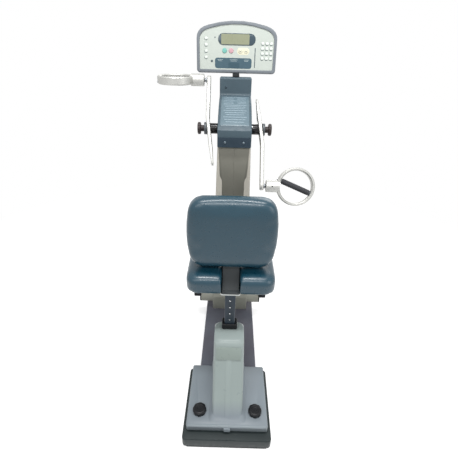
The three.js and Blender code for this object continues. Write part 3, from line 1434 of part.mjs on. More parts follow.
function makeHub(side) {
  const barrel = rod(HUB_RADIUS, HUB_START, ARM_MIDDLE, 24);
  const stub = box(halfSpan(STUB_LENGTH), halfSpan(STUB_WIDTH), [ARM_MIDDLE - ARM_THICK, STUB_END]);
  const trimmed = cut(alongX(barrel), beyondArm(-1));
  const rodBottom = FLANGE_END + FIT - CLAMP_ROD_LENGTH - RUN;
  const whole = cut(
    join(trimmed, alongX(stub)),
    alongX(rod(AXLE_RADIUS + FIT, HUB_START - OVERRUN, AXLE_LENGTH / 2 + FIT)),
    alongX(rod(CLAMP_ROD_RADIUS + RUN, rodBottom, STUB_END + OVERRUN, 16)),
  );
  place(side < 0 ? "crank_hub_left" : "crank_hub_right", onCrank(side, whole), "knob", 0.3, 0.45);
}

function makeFlange(side) {
  const disc = alongX(rod(FLANGE_RADIUS, ARM_MIDDLE, FLANGE_END, 24));
  const key = box(
    halfSpan(STUB_LENGTH + 2 * FIT),
    halfSpan(STUB_WIDTH + 2 * FIT),
    [ARM_MIDDLE - OVERRUN, FLANGE_END + OVERRUN],
  );
  const whole = cut(disc, beyondArm(1), alongX(key));
  place(side < 0 ? "clamp_flange_left" : "clamp_flange_right", onCrank(side, whole), "knob", 0.2, 0.5);
}

function makeClampKnob(side) {
  const start = FLANGE_END + FIT;
  const body = lathe([
    [0, start - CLAMP_ROD_LENGTH],
    [CLAMP_ROD_RADIUS, start - CLAMP_ROD_LENGTH],
    [CLAMP_ROD_RADIUS, start],
    [CLAMP_NECK_RADIUS, start],
    [CLAMP_NECK_RADIUS, KNOB_NECK_END],
    [CLAMP_KNOB_RADIUS - CLAMP_KNOB_CROWN, KNOB_NECK_END],
    [CLAMP_KNOB_RADIUS, KNOB_NECK_END + CLAMP_KNOB_CROWN],
    [CLAMP_KNOB_RADIUS, KNOB_END - CLAMP_KNOB_CROWN],
    [CLAMP_KNOB_RADIUS - CLAMP_KNOB_CROWN, KNOB_END - CLAMP_KNOB_CROWN / 4],
    [CLAMP_NECK_RADIUS, KNOB_END],
    [0, KNOB_END],
  ], 16);
  const flutes = Array.from({ length: CLAMP_FLUTES }, (_, i) => {
    const angle = (i / CLAMP_FLUTES) * Math.PI * 2;
    const reach = CLAMP_KNOB_RADIUS + CLAMP_FLUTE_RADIUS / 2;
    const flute = rod(CLAMP_FLUTE_RADIUS, KNOB_NECK_END - OVERRUN, KNOB_END + OVERRUN, 8);
    return flute.translate(reach * Math.cos(angle), reach * Math.sin(angle), 0);
  });
  const knob = onCrank(side, alongX(cut(body, ...flutes)));
  place(side < 0 ? "clamp_knob_left" : "clamp_knob_right", knob, "knob", 0, 0.5);
}

function makeSpindle(side) {
  const pivotX = armPath(ARM_PIVOT);
  const collar = pivotX + ARM_THICK / 2 + FIT;
  const face = collar + SPINDLE_COLLAR_LENGTH;
  const spindle = lathe([
    [0, pivotX - ARM_THICK / 2],
    [SPINDLE_RADIUS, pivotX - ARM_THICK / 2],
    [SPINDLE_RADIUS, collar],
    [SPINDLE_COLLAR_RADIUS, collar],
    [SPINDLE_COLLAR_RADIUS, face],
    [SPINDLE_RADIUS, face],
    [SPINDLE_RADIUS, face + SPINDLE_REACH - SPINDLE_RADIUS / 4],
    [SPINDLE_RADIUS * (3 / 4), face + SPINDLE_REACH],
    [0, face + SPINDLE_REACH],
  ], 16);
  const placed = alongX(spindle, 0, ARM_PIVOT).translate(...armShift(side));
  const name = side < 0 ? "handle_spindle_left" : "handle_spindle_right";
  place(name, onCrank(side, placed), "polished", 0.9, 0.3);
}

// Ring handles: drawn on the right with the spindle along X, then tilted about it and put on its arm
function onSpindle(side, geometry) {
  const [, , shift] = armShift(side);
  const across = new THREE.Vector3(1, 0, 0);
  const pivot = new THREE.Vector3(0, 0, ARM_PIVOT + shift).applyAxisAngle(across, crankAngle(side));
  const tilt = side > 0 ? RIGHT_RING_TILT : 0;
  return mirrorTo(side, geometry).rotateX(tilt).translate(0, AXLE_PLACE + pivot.y, AXLE_HEIGHT + pivot.z);
}

function makeRing(side) {
  const inner = RING_RADIUS - RING_BAND;
  const half = RING_WIDTH / 2;
  const band = lathe([
    [inner, -half + RING_EDGE],
    [inner + RING_EDGE, -half],
    [RING_RADIUS - RING_EDGE, -half],
    [RING_RADIUS, -half + RING_EDGE],
    [RING_RADIUS, half - RING_EDGE],
    [RING_RADIUS - RING_EDGE, half],
    [inner + RING_EDGE, half],
    [inner, half - RING_EDGE],
  ], RING_SIDES).translate(RING_PLACE, 0, 0);
  const bossEnd = RING_PLACE - inner + RING_BAND / 2;
  const boss = alongX(lathe([
    [0, BOSS_START],
    [BOSS_RADIUS - BOSS_EDGE, BOSS_START],
    [BOSS_RADIUS, BOSS_START + BOSS_EDGE],
    [BOSS_RADIUS, bossEnd],
    [0, bossEnd],
  ]));
  const windowHeight = halfSpan(2 * BOSS_RADIUS + 2 * OVERRUN);
  const window = rod(inner, ...windowHeight, RING_SIDES).translate(RING_PLACE, 0, 0);
  const boreEnd = RING_PLACE - RING_RADIUS - BOSS_WALL_END / 2;
  const bore = alongX(rod(SPINDLE_RADIUS + RUN, BOSS_START - OVERRUN, boreEnd, 16));
  const screwPlace = BOSS_START + BOSS_RADIUS;
  const screwHole = rod(SET_SCREW_RADIUS, SPINDLE_RADIUS, BOSS_RADIUS + OVERRUN, 10);
  screwHole.translate(screwPlace, 0, 0);
  const ring = cut(join(band, cut(boss, window)), bore, screwHole);
  place(side < 0 ? "handle_ring_left" : "handle_ring_right", onSpindle(side, ring), "polished", 0.9, 0.25);
}

function makeGrip(side) {
  const reach = RING_RADIUS - RING_BAND;
  const waist = reach - FERRULE_LENGTH;
  const bar = alongX(lathe([
    [0, -reach],
    [FERRULE_RADIUS, -reach],
    [FERRULE_RADIUS, -waist],
    [GRIP_RADIUS, -waist],
    [GRIP_WAIST, 0],
    [GRIP_RADIUS, waist],
    [FERRULE_RADIUS, waist],
    [FERRULE_RADIUS, reach],
    [0, reach],
  ], 20)).rotateZ(-GRIP_SLANT);
  const window = rod(reach - FIT, -2 * FERRULE_RADIUS, 2 * FERRULE_RADIUS, RING_SIDES);
  const grip = common(bar, window).translate(RING_PLACE, 0, 0);
  place(side < 0 ? "grip_left" : "grip_right", onSpindle(side, grip), "grip", 0, 0.8);
}

// Console
function onConsole(geometry) {
  return geometry.rotateX(Math.PI / 2 - CONSOLE_LEAN).translate(0, CONSOLE_PLACE, CONSOLE_HEIGHT);
}

function consoleOutline(inset) {
  const foot = CONSOLE_FOOT_WIDTH / 2 - inset;
  const side = CONSOLE_WIDTH / 2 - inset;
  const low = CONSOLE_FOOT_CORNER - inset / 2;
  const high = CONSOLE_TOP_CORNER - inset / 2;
  const bottom = inset;
  const shoulder = CONSOLE_SHOULDER - inset;
  const crown = 2 * (CONSOLE_CROWN - inset) - shoulder;
  const shape = new THREE.Shape();
  shape.moveTo(-foot + low, bottom);
  shape.lineTo(foot - low, bottom);
  shape.quadraticCurveTo(foot, bottom, foot, bottom + low);
  shape.lineTo(side, shoulder - high);
  shape.quadraticCurveTo(side, shoulder - high / 4, side - high, shoulder);
  shape.quadraticCurveTo(0, crown, -side + high, shoulder);
  shape.quadraticCurveTo(-side, shoulder - high / 4, -side, shoulder - high);
  shape.lineTo(-foot, bottom + low);
  shape.quadraticCurveTo(-foot, bottom, -foot + low, bottom);
  return shape;
}

function makeConsoleCase() {
  const back = CONSOLE_DEPTH - BEZEL_DEPTH - FIT;
  const shell = cut(
    prism(consoleOutline(0), back, CONSOLE_EDGE, 5),
    prism(consoleOutline(CONSOLE_WALL), back, 0, 5).translate(0, 0, CONSOLE_WALL),
  ).translate(0, 0, -CONSOLE_DEPTH);
  place("console_back_shell", onConsole(shell), "bezel", 0.1, 0.5);
  const frame = cut(
    prism(consoleOutline(0), BEZEL_DEPTH, CONSOLE_EDGE, 5),
    prism(consoleOutline(BEZEL_WIDTH), BEZEL_DEPTH + 2 * OVERRUN, 0, 5).translate(0, 0, -OVERRUN),
  ).translate(0, 0, -BEZEL_DEPTH);
  place("console_bezel", onConsole(frame), "bezel", 0.1, 0.5);
}

function makeControlPanel() {
  const plate = prism(consoleOutline(BEZEL_WIDTH + FIT), PANEL_THICK, 0, 5);
  plate.translate(0, 0, -PANEL_SINK - PANEL_THICK);
  const wells = ROUND_KEYS.map(({ x, radius }) => {
    const bottom = -PANEL_SINK - KEY_DEPTH;
    return rod(radius + KEY_PLAY, bottom, 0, 16).translate(x, KEY_HEIGHT, 0);
  });
  const dome = (x, y) => {
    const heights = [-PANEL_SINK - DOME_RISE, -PANEL_SINK + DOME_RISE];
    return box(around(x, DOME_WIDTH), around(y, DOME_DEPTH), heights);
  };
  const rows = [-1.5, -0.5, 0.5, 1.5];
  const pad = rows.flatMap((row) => [-1, 0, 1].map((column) => {
    return dome(KEYPAD_X + column * KEYPAD_PITCH_X, KEYPAD_Y + row * KEYPAD_PITCH_Y);
  }));
  const sideKeys = rows.map((row) => dome(SIDE_KEYS_X, SIDE_KEYS_Y + row * SIDE_KEYS_PITCH));
  place("control_panel", onConsole(join(cut(plate, ...wells), ...pad, ...sideKeys)), "face", 0, 0.5);
}

function makeWindow() {
  const span = around(WINDOW_HEIGHT, WINDOW_DEPTH);
  const shape = roundedRectangle(halfSpan(WINDOW_WIDTH), span, WINDOW_CORNER);
  const lens = prism(shape, WINDOW_THICK).translate(0, 0, -PANEL_SINK + FIT);
  place("display_window", onConsole(lens), "window", 0, 0.2);
}

function makeKey({ name, colour, x, radius }) {
  const top = -PANEL_SINK + KEY_RISE;
  const bottom = -PANEL_SINK - KEY_DEPTH / 2;
  const key = lathe([
    [0, bottom],
    [radius, bottom],
    [radius, top - KEY_EDGE],
    [radius - KEY_EDGE, top],
    [0, top],
  ], 16).translate(x, KEY_HEIGHT, 0);
  place(name, onConsole(key), colour, 0, 0.5);
}

// The neck rises from the housing, passes under the console and stands against its back
function makeConsoleNeck() {
  const floor = HOUSING_TOP + 2 * FIT;
  const backAt = (up) => {
    const depth = CONSOLE_DEPTH + FIT;
    return [
      CONSOLE_PLACE + up * Math.sin(CONSOLE_LEAN) + depth * Math.cos(CONSOLE_LEAN),
      CONSOLE_HEIGHT + up * Math.cos(CONSOLE_LEAN) - depth * Math.sin(CONSOLE_LEAN),
    ];
  };
  const [backFoot, footHeight] = backAt(0);
  const [backHead, headHeight] = backAt(CONSOLE_NECK_RISE);
  const shape = outline([
    [CONSOLE_NECK_REAR, floor],
    [backFoot + CONSOLE_NECK_PLATE / 2, floor],
    [backFoot + CONSOLE_NECK_PLATE, footHeight],
    [backHead + CONSOLE_NECK_PLATE, headHeight],
    [backHead, headHeight],
    [backFoot, footHeight - 2 * FIT],
    [CONSOLE_PLACE - FIT, CONSOLE_HEIGHT - 2 * RUN],
    [CONSOLE_NECK_REAR + CONSOLE_NECK_WIDTH / 2, CONSOLE_HEIGHT - 2 * RUN],
    [CONSOLE_NECK_REAR, floor + CONSOLE_NECK_PLATE / 3],
  ]);
  place("console_neck", prismX(shape, ...halfSpan(CONSOLE_NECK_WIDTH)), "knob", 0.1, 0.5);
}

makeAxle();
makePulley();
makeBelt();
makeBrake();
makeYoke();
eachSide(makeArm);
eachSide(makeHub);
eachSide(makeFlange);
eachSide(makeClampKnob);
eachSide(makeSpindle);
eachSide(makeRing);
eachSide(makeGrip);
makeConsoleCase();
makeControlPanel();
makeWindow();
ROUND_KEYS.forEach(makeKey);
makeConsoleNeck();

export default group;
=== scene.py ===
# %% [markdown]
# # Dressing an arm ergometer
#
# An arm ergometer is a bicycle for the hands: a tall column carries a crank with two ring handles, and the user
# sits on a low seat behind it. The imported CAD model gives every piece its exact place. This lesson keeps those
# places and gives each piece the rounded edges, upholstery, polish and moulded grain that the real machine has.

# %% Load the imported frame
import json
import math

import bpy
from mathutils import Matrix, Vector


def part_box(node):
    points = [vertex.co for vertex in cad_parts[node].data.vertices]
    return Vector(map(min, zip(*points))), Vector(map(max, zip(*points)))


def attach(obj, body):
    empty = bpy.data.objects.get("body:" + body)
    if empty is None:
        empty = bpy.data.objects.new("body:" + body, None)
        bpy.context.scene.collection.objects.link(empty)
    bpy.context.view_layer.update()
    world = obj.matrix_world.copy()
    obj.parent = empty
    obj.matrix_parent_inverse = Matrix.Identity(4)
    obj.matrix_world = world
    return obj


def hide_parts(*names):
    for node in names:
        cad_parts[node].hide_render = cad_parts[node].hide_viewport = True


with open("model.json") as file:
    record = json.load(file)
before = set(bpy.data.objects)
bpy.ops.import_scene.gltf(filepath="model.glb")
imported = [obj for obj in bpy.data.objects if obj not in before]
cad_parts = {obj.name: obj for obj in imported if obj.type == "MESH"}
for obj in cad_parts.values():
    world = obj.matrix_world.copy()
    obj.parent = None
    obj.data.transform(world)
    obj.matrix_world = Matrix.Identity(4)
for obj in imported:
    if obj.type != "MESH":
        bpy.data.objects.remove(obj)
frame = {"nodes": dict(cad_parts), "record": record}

nodes = frame["nodes"]
body_of_node = {n: b for b, members in frame["record"]["behaviour"]["bodies"].items() for n in members}
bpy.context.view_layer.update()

# %% [markdown]
# ## The camera
#
# The photograph looks down on the machine from behind the seat. A real camera could be found by trial, but its
# place and lens were worked out from the machine's own right angles, so they are simply written down. The sensor
# is as wide as the square picture, and a lens of 331 pixels on a picture of 458 pixels is 26 mm on 36 mm.

# %% Place the camera
PICTURE_WIDTH = 458
FOCAL_PIXELS = 331
SENSOR_WIDTH = 36.0
CAMERA_PLACE = Vector((-0.0087, -1.362, 1.45))
CAMERA_TURN = (-0.21, 30.0, 1.45)


def camera_axes(yaw, pitch, roll):
    """Right, up and forward of a camera that is turned left, tipped down and rolled."""
    forward = Vector((math.sin(yaw) * math.cos(pitch), math.cos(yaw) * math.cos(pitch), -math.sin(pitch)))
    level = Vector((math.cos(yaw), -math.sin(yaw), 0))
    upward = level.cross(forward)
    right = math.cos(roll) * level + math.sin(roll) * upward
    return right, -math.sin(roll) * level + math.cos(roll) * upward, forward


right, up, forward = camera_axes(*(math.radians(a) for a in CAMERA_TURN))
camera = bpy.data.objects.new("camera", bpy.data.cameras.new("camera"))
bpy.context.scene.collection.objects.link(camera)
camera.matrix_world = Matrix.Translation(CAMERA_PLACE) @ Matrix((right, up, -forward)).transposed().to_4x4()
camera.data.sensor_width = SENSOR_WIDTH
camera.data.lens = FOCAL_PIXELS / PICTURE_WIDTH * SENSOR_WIDTH
camera.data.clip_start, camera.data.clip_end = 0.05, 60
bpy.context.scene.camera = camera
print("lens", round(camera.data.lens, 2), "mm")

# %% [markdown]
# ## Studio and floor
#
# The picture has a plain white ground. Brighter lamps would wash the machine out, so the white comes from the
# floor and the world as the camera and the reflections see them, while the lamps stay at a level where a colour
# renders about as it was written. Five area lamps make soft edges: a key from behind on the left, a fill
# on the right, two long overhead strips that draw the highlights along the cushions, and one at the far side.

# %% Light the studio
LAMPS = (
    ("key_lamp", (-1.9, -2.9, 3.2), (0, 0, 0.8), 1.8, 1.8, 26),
    ("fill_lamp", (2.6, -1.8, 2.0), (0, 0.1, 0.8), 1.6, 2.2, 24),
    ("top_strip", (0.0, -0.3, 3.4), (0, -0.1, 0.5), 1.9, 0.26, 50),
    ("front_strip", (0.0, -2.3, 3.5), (0, -0.2, 0.7), 1.9, 0.2, 34),
    ("back_lamp", (1.2, 3.0, 2.4), (0, 0.2, 0.8), 2.0, 1.6, 24),
)


def add_lamp(name, place, target, width, height, watts):
    """An area lamp that faces its target."""
    lamp = bpy.data.objects.new(name, bpy.data.lights.new(name, "AREA"))
    bpy.context.scene.collection.objects.link(lamp)
    lamp.data.shape = "RECTANGLE"
    lamp.data.size, lamp.data.size_y, lamp.data.energy = width, height, watts
    lamp.location = place
    lamp.rotation_euler = (Vector(target) - Vector(place)).to_track_quat("-Z", "Y").to_euler()


for lamp in LAMPS:
    add_lamp(*lamp)
bpy.context.scene.view_settings.view_transform = "Standard"
print(len(LAMPS), "lamps")

# %% [markdown]
# ## A sky that is white only to the eye
#
# A world of strength 1 would light the machine from everywhere and flatten it. So the world has two strengths: a low
# one that lights the machine, and a full white that only the camera, reflections and glass see. A Light Path node
# tells the two apart.

# %% Whiten the sky
WORLD_LEVEL = 0.42


def seen_directly(tree):
    """1 where the camera, a reflection or a view through glass looks, and 0 for soft bounced light."""
    path = tree.nodes.new("ShaderNodeLightPath")
    total = None
    for ray in ("Is Camera Ray", "Is Glossy Ray", "Is Transmission Ray"):
        if total is None:
            total = path.outputs[ray]
            continue
        larger = tree.nodes.new("ShaderNodeMath")
        larger.operation = "MAXIMUM"
        tree.links.new(total, larger.inputs[0])
        tree.links.new(path.outputs[ray], larger.inputs[1])
        total = larger.outputs[0]
    return total


world = bpy.data.worlds.new("studio")
bpy.context.scene.world = world
world.use_nodes = True
tree = world.node_tree
tree.nodes.clear()
soft_sky, white_sky = tree.nodes.new("ShaderNodeBackground"), tree.nodes.new("ShaderNodeBackground")
soft_sky.inputs["Strength"].default_value = WORLD_LEVEL
for sky in (soft_sky, white_sky):
    sky.inputs["Color"].default_value = (1, 1, 1, 1)
mixed, out = tree.nodes.new("ShaderNodeMixShader"), tree.nodes.new("ShaderNodeOutputWorld")
tree.links.new(seen_directly(tree), mixed.inputs[0])
tree.links.new(soft_sky.outputs[0], mixed.inputs[1])
tree.links.new(white_sky.outputs[0], mixed.inputs[2])
tree.links.new(mixed.outputs[0], out.inputs["Surface"])

print("sky lights at", WORLD_LEVEL)

# %% [markdown]
# ## A floor that fades to white
#
# The floor has to keep the machine's soft shadow, and yet have no visible end. It is matt with a little glow near the
# machine, and further out it turns into pure white, by its distance from the middle in Object coordinates.

# %% Lay the floor
FLOOR_HALF = 30.0
FLOOR_GREY = 0.8
NEAR_GLOW = 0.55
FADE_START, FADE_END = 1.0, 2.4
bpy.ops.mesh.primitive_plane_add(size=2 * FLOOR_HALF)
floor = bpy.context.object
floor.name = "studio_floor"
white = bpy.data.materials.new("studio_floor")
white.use_nodes = True
tree = white.node_tree
tree.nodes.clear()
matt, glow = tree.nodes.new("ShaderNodeBsdfDiffuse"), tree.nodes.new("ShaderNodeEmission")
matt.inputs["Color"].default_value = (FLOOR_GREY, FLOOR_GREY, FLOOR_GREY, 1)
lit = tree.nodes.new("ShaderNodeMath")
lit.operation = "MULTIPLY"
lit.inputs[1].default_value = NEAR_GLOW
added, out = tree.nodes.new("ShaderNodeAddShader"), tree.nodes.new("ShaderNodeOutputMaterial")
seen = seen_directly(tree)
tree.links.new(seen, lit.inputs[0])
tree.links.new(lit.outputs[0], glow.inputs["Strength"])
tree.links.new(matt.outputs[0], added.inputs[0])
tree.links.new(glow.outputs[0], added.inputs[1])
length = tree.nodes.new("ShaderNodeVectorMath")
length.operation = "LENGTH"
away, far_seen = tree.nodes.new("ShaderNodeMapRange"), tree.nodes.new("ShaderNodeMath")
away.inputs["From Min"].default_value, away.inputs["From Max"].default_value = FADE_START, FADE_END
far_seen.operation = "MULTIPLY"
plain, faded = tree.nodes.new("ShaderNodeEmission"), tree.nodes.new("ShaderNodeMixShader")
tree.links.new(tree.nodes.new("ShaderNodeTexCoord").outputs["Object"], length.inputs[0])
tree.links.new(length.outputs["Value"], away.inputs["Value"])
tree.links.new(away.outputs[0], far_seen.inputs[0])
tree.links.new(seen, far_seen.inputs[1])
tree.links.new(far_seen.outputs[0], faded.inputs[0])
tree.links.new(added.outputs[0], faded.inputs[1])
tree.links.new(plain.outputs[0], faded.inputs[2])
tree.links.new(faded.outputs[0], out.inputs["Surface"])
floor.data.materials.append(white)
print("floor white from", FADE_END, "m")

# %% [markdown]
# ## Finishes
#
# Almost every surface here is one of four kinds: moulded or painted with a fine grain, rubber, smooth vinyl, or
# polished metal. One helper makes them all from noise on Object coordinates, because an object coordinate stays on
# the piece when it moves and needs no unwrapping. Each finish has a slow change of colour, a grain in its bump, a
# little spread in its gloss, and a painted highlight: its sharp edges are made lighter, as if they caught the light.

# %% Make one finish
NOISE_DETAIL = 4.0
NOISE_LOW, NOISE_HIGH = 0.3, 0.7
GRAIN_STRENGTH = 0.35
GLOSS_BELOW, GLOSS_ABOVE = 0.05, 0.06
GLOSS_SCALE = 5
# Painted highlight: the colour of sharp edges is made up to this many times lighter.
EDGE_HIGHLIGHT_FACTOR = 1.9
EDGE_START, EDGE_END = 0.51, 0.58


def linear(code):
    """A colour written as six hexadecimal digits, in the numbers that a shader wants."""
    parts = [int(code[i:i + 2], 16) / 255 for i in (0, 2, 4)]
    return (*((c / 12.92 if c <= 0.04045 else ((c + 0.055) / 1.055) ** 2.4) for c in parts), 1.0)


def shaded(colour, factor):
    """A colour made lighter or darker."""
    return (*(min(1.0, c * factor) for c in colour[:3]), 1.0)


class Nodes:
    """A material's node tree with short calls to add a node and to link sockets."""

    def __init__(self, name):
        self.material = bpy.data.materials.new(name)
        self.material.use_nodes = True
        self.tree = self.material.node_tree
        self.surface = self.tree.nodes["Principled BSDF"]
        self.place = self.add("TexCoord").outputs["Object"]

    def add(self, kind, **settings):
        node = self.tree.nodes.new("ShaderNode" + kind)
        for key, value in settings.items():
            setattr(node, key, value)
        return node

    def link(self, source, target):
        self.tree.links.new(source, target)

    def stretched(self, scale):
        mapping = self.add("Mapping")
        mapping.inputs["Scale"].default_value = scale
        self.link(self.place, mapping.inputs["Vector"])
        return mapping.outputs[0]

    def noise(self, scale, vector=None):
        noise = self.add("TexNoise")
        noise.inputs["Scale"].default_value, noise.inputs["Detail"].default_value = scale, NOISE_DETAIL
        self.link(vector or self.place, noise.inputs["Vector"])
        return noise.outputs[0]

    def ranged(self, value, low, high, to_low, to_high):
        ranged = self.add("MapRange")
        for socket, number in zip(list(ranged.inputs)[1:5], (low, high, to_low, to_high)):
            socket.default_value = number
        self.link(value, ranged.inputs[0])
        return ranged.outputs[0]

    def mixed(self, share, first, second):
        mix = self.add("Mix", data_type="RGBA", blend_type="MIX")
        for socket, value in ((mix.inputs[0], share), (mix.inputs[6], first), (mix.inputs[7], second)):
            if isinstance(value, bpy.types.NodeSocket):
                self.link(value, socket)
            else:
                socket.default_value = value
        return mix.outputs[2]

    def bumped(self, height, strength, distance):
        bump = self.add("Bump")
        bump.inputs["Strength"].default_value, bump.inputs["Distance"].default_value = strength, distance
        self.link(height, bump.inputs["Height"])
        return bump.outputs[0]


def finish(name, code, rough, metal=0.0, mottle=0.07, blotch=9.0, grain=650.0, depth=0.00008, edge_highlight=0.12,
           stretch=(1, 1, 1), coat=0.0, shine=0.3, fade=None, fade_to="000000", second=None):
    """A surface with uneven colour, grain, spread gloss and a painted highlight on its sharp edges.

    second is the colour of the patches, where it isn't just the first one made lighter. fade is (low, high, share):
    at the height low only share of the finish's own colour is left, mixed with fade_to, and at high all of it is.
    """
    made = Nodes(name)
    colour, shader = linear(code), made.surface.inputs
    patches = made.ranged(made.noise(blotch), NOISE_LOW, NOISE_HIGH, 0, 1)
    lighter = linear(second) if second else shaded(colour, 1 + mottle)
    base = made.mixed(patches, shaded(colour, 1 - mottle), lighter)
    if fade:
        low, high, share = fade
        split = made.add("SeparateXYZ")
        made.link(made.place, split.inputs[0])
        base = made.mixed(made.ranged(split.outputs["Z"], low, high, 1 - share, 0), base, linear(fade_to))
    # Painted highlight: where Pointiness marks a sharp edge, the colour is mixed toward a lighter one.
    corner = made.ranged(made.add("NewGeometry").outputs["Pointiness"], EDGE_START, EDGE_END, 0, edge_highlight)
    made.link(made.mixed(corner, base, shaded(colour, EDGE_HIGHLIGHT_FACTOR)), shader["Base Color"])
    gloss = made.noise(blotch * GLOSS_SCALE)
    made.link(made.ranged(gloss, NOISE_LOW, NOISE_HIGH, rough - GLOSS_BELOW, rough + GLOSS_ABOVE),
              shader["Roughness"])
    fine = made.bumped(made.noise(grain, made.stretched(stretch)), GRAIN_STRENGTH, depth)
    made.link(fine, shader["Normal"])
    shader["Metallic"].default_value = metal
    shader["Coat Weight"].default_value = coat
    shader["Specular IOR Level"].default_value = shine
    return made.material


# %% [markdown]
# ## The list of finishes
#
# The first part holds one finish for each material slot of the imported record, and the rest are looks of single
# pieces. A dark plastic in a white room would look hazy, because it mirrors that room, so the dark ones have a darker
# colour and a lower shine than the eye would first guess.

# %% Mix the finishes
# In each finish the edge setting is the strength of its painted highlight on sharp edges.
FINISHES = {
    "slab_paint": finish("slab_paint", "272f30", 0.42, blotch=14, shine=0.25),
    "deck_paint": finish("deck_paint", "666a74", 0.44, mottle=0.1, blotch=6, second="59565f"),
    "black_rubber": finish("black_rubber", "202225", 0.75, grain=400, depth=0.0002, edge_highlight=0.05, shine=0.2),
    "pedestal_paint": finish("pedestal_paint", "8f9a98", 0.32, mottle=0.03, blotch=4, grain=900, depth=0.00003,
                             edge_highlight=0.1, fade=(0.108, 0.16, 0.5), fade_to="6d7385"),
    "black_plastic": finish("black_plastic", "17181b", 0.36, grain=700, depth=0.00004, shine=0.22),
    "knob_brown": finish("knob_brown", "352e2d", 0.42, grain=500, depth=0.0001),
    "hub_black": finish("hub_black", "08080a", 0.18, grain=900, depth=0.00001, edge_highlight=0.05, shine=0.35),
    "flange_grey": finish("flange_grey", "53575a", 0.4, 0.3, edge_highlight=0.05),
    "post_paint": finish("post_paint", "27313b", 0.36, depth=0.00004),
    "bright_plate": finish("bright_plate", "b2b5b4", 0.34, 1.0, edge_highlight=0.0, depth=0.00002),
    "teal_vinyl": finish("teal_vinyl", "0f3a4a", 0.3, mottle=0.05, grain=420, depth=0.000004, shine=0.65,
                         edge_highlight=0.0),
    "bracket_paint": finish("bracket_paint", "35393b", 0.42),
    "bare_steel": finish("bare_steel", "8b8f93", 0.36, 1.0, edge_highlight=0.0, depth=0.00002),
    "slate_plastic": finish("slate_plastic", "46565f", 0.4, grain=1100, depth=0.00004),
    "slate_dark": finish("slate_dark", "303d48", 0.4, grain=1100, depth=0.00004),
    "pale_plastic": finish("pale_plastic", "b7b3a9", 0.44, mottle=0.03, grain=1100, depth=0.00004),
    # Painted shade: the strip's colour darkens toward black from 0.99 m down to 0.78 m, where 55 % of it is left.
    "strip_plastic": finish("strip_plastic", "7a7970", 0.4, grain=1100, depth=0.00004, fade=(0.78, 0.99, 0.55)),
    "polished_alloy": finish("polished_alloy", "c3c3bf", 0.44, 0.72, mottle=0.04, edge_highlight=0.0, depth=0.00001,
                             stretch=(1, 1, 0.05)),
    "grip_rubber": finish("grip_rubber", "35363a", 0.6, grain=350, depth=0.0001),
    "bezel_plastic": finish("bezel_plastic", "747a80", 0.38, grain=900, depth=0.00004),
    "panel_face": finish("panel_face", "bec5be", 0.4, mottle=0.02, edge_highlight=0.0, depth=0.00001),
    "window_lens": finish("window_lens", "3d4e58", 0.12, mottle=0.03, depth=0.00001, edge_highlight=0.0, coat=0.3),
    "start_green": finish("start_green", "76b5ab", 0.35, mottle=0.03, edge_highlight=0.0, depth=0.00002),
    "stop_red": finish("stop_red", "c9a0a8", 0.35, mottle=0.03, edge_highlight=0.0, depth=0.00002),
    "arrow_cream": finish("arrow_cream", "dedbc4", 0.4, mottle=0.03, edge_highlight=0.0, depth=0.00002),
    "tube_paint": finish("tube_paint", "87887f", 0.42, depth=0.00004),
    "lcd_olive": finish("lcd_olive", "8e9279", 0.3, mottle=0.03, edge_highlight=0.0, depth=0.00001),
    "printed_field": finish("printed_field", "415a66", 0.4, mottle=0.03, edge_highlight=0.0, depth=0.00001),
    "printed_field_deep": finish("printed_field_deep", "35505c", 0.4, mottle=0.03, edge_highlight=0.0, depth=0.00001),
    "print_pale": finish("print_pale", "b9c6c6", 0.5, mottle=0.02, edge_highlight=0.0, depth=0.00001),
    "print_faint": finish("print_faint", "9fb0ba", 0.5, mottle=0.02, edge_highlight=0.0, depth=0.00001),
    "slit_dark": finish("slit_dark", "4d5a60", 0.5, edge_highlight=0.0, depth=0.00001),
    # A dark grey for print, and for the painted shadow under the key domes.
    "dark_print_and_shadow": finish("dark_print_and_shadow", "525f63", 0.5, edge_highlight=0.0, depth=0.00001),
    "dome_pale": finish("dome_pale", "dbe1db", 0.35, mottle=0.02, edge_highlight=0.0, depth=0.00001),
    "label_slate": finish("label_slate", "61757f", 0.32, mottle=0.04, edge_highlight=0.0, depth=0.00001, shine=0.5),
    "label_grey": finish("label_grey", "86918c", 0.3, mottle=0.03, depth=0.00001),
    "bolt_steel": finish("bolt_steel", "b4b6b8", 0.24, 1.0, edge_highlight=0.0, depth=0.00001),
    "screw_grey": finish("screw_grey", "7e8b94", 0.42, 0.7, edge_highlight=0.0, depth=0.00001),
    "screw_dark": finish("screw_dark", "3d4852", 0.4, 0.6, edge_highlight=0.0, depth=0.00001),
}
print(len(FINISHES), "finishes")

# %% [markdown]
# ## Rounded copies of the CAD pieces
#
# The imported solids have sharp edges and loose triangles, and nothing real has a perfectly sharp edge. Moving the
# solids is not allowed, but a copy may be finished and shown in their place: its triangles are merged, its flat
# faces joined, and each edge gets a small round that catches the light.

# %% Round a copy of a node
WELD = 0.00001
FLAT_ANGLE = math.radians(0.6)
SHARP_ANGLE = math.radians(32)
slot_of_node = {part["node"]: part["material_slot"] for part in frame["record"]["subparts"]}
done = set()


def choose_only(*objects):
    """Selects these objects and nothing else."""
    bpy.ops.object.select_all(action="DESELECT")
    for chosen in objects:
        chosen.select_set(True)
    bpy.context.view_layer.objects.active = objects[0]


def apply_modifier(piece, kind, **settings):
    """Adds a modifier and applies it."""
    modifier = piece.modifiers.new(kind.lower(), kind)
    for key, value in settings.items():
        setattr(modifier, key, value)
    choose_only(piece)
    bpy.ops.object.modifier_apply(modifier=modifier.name)


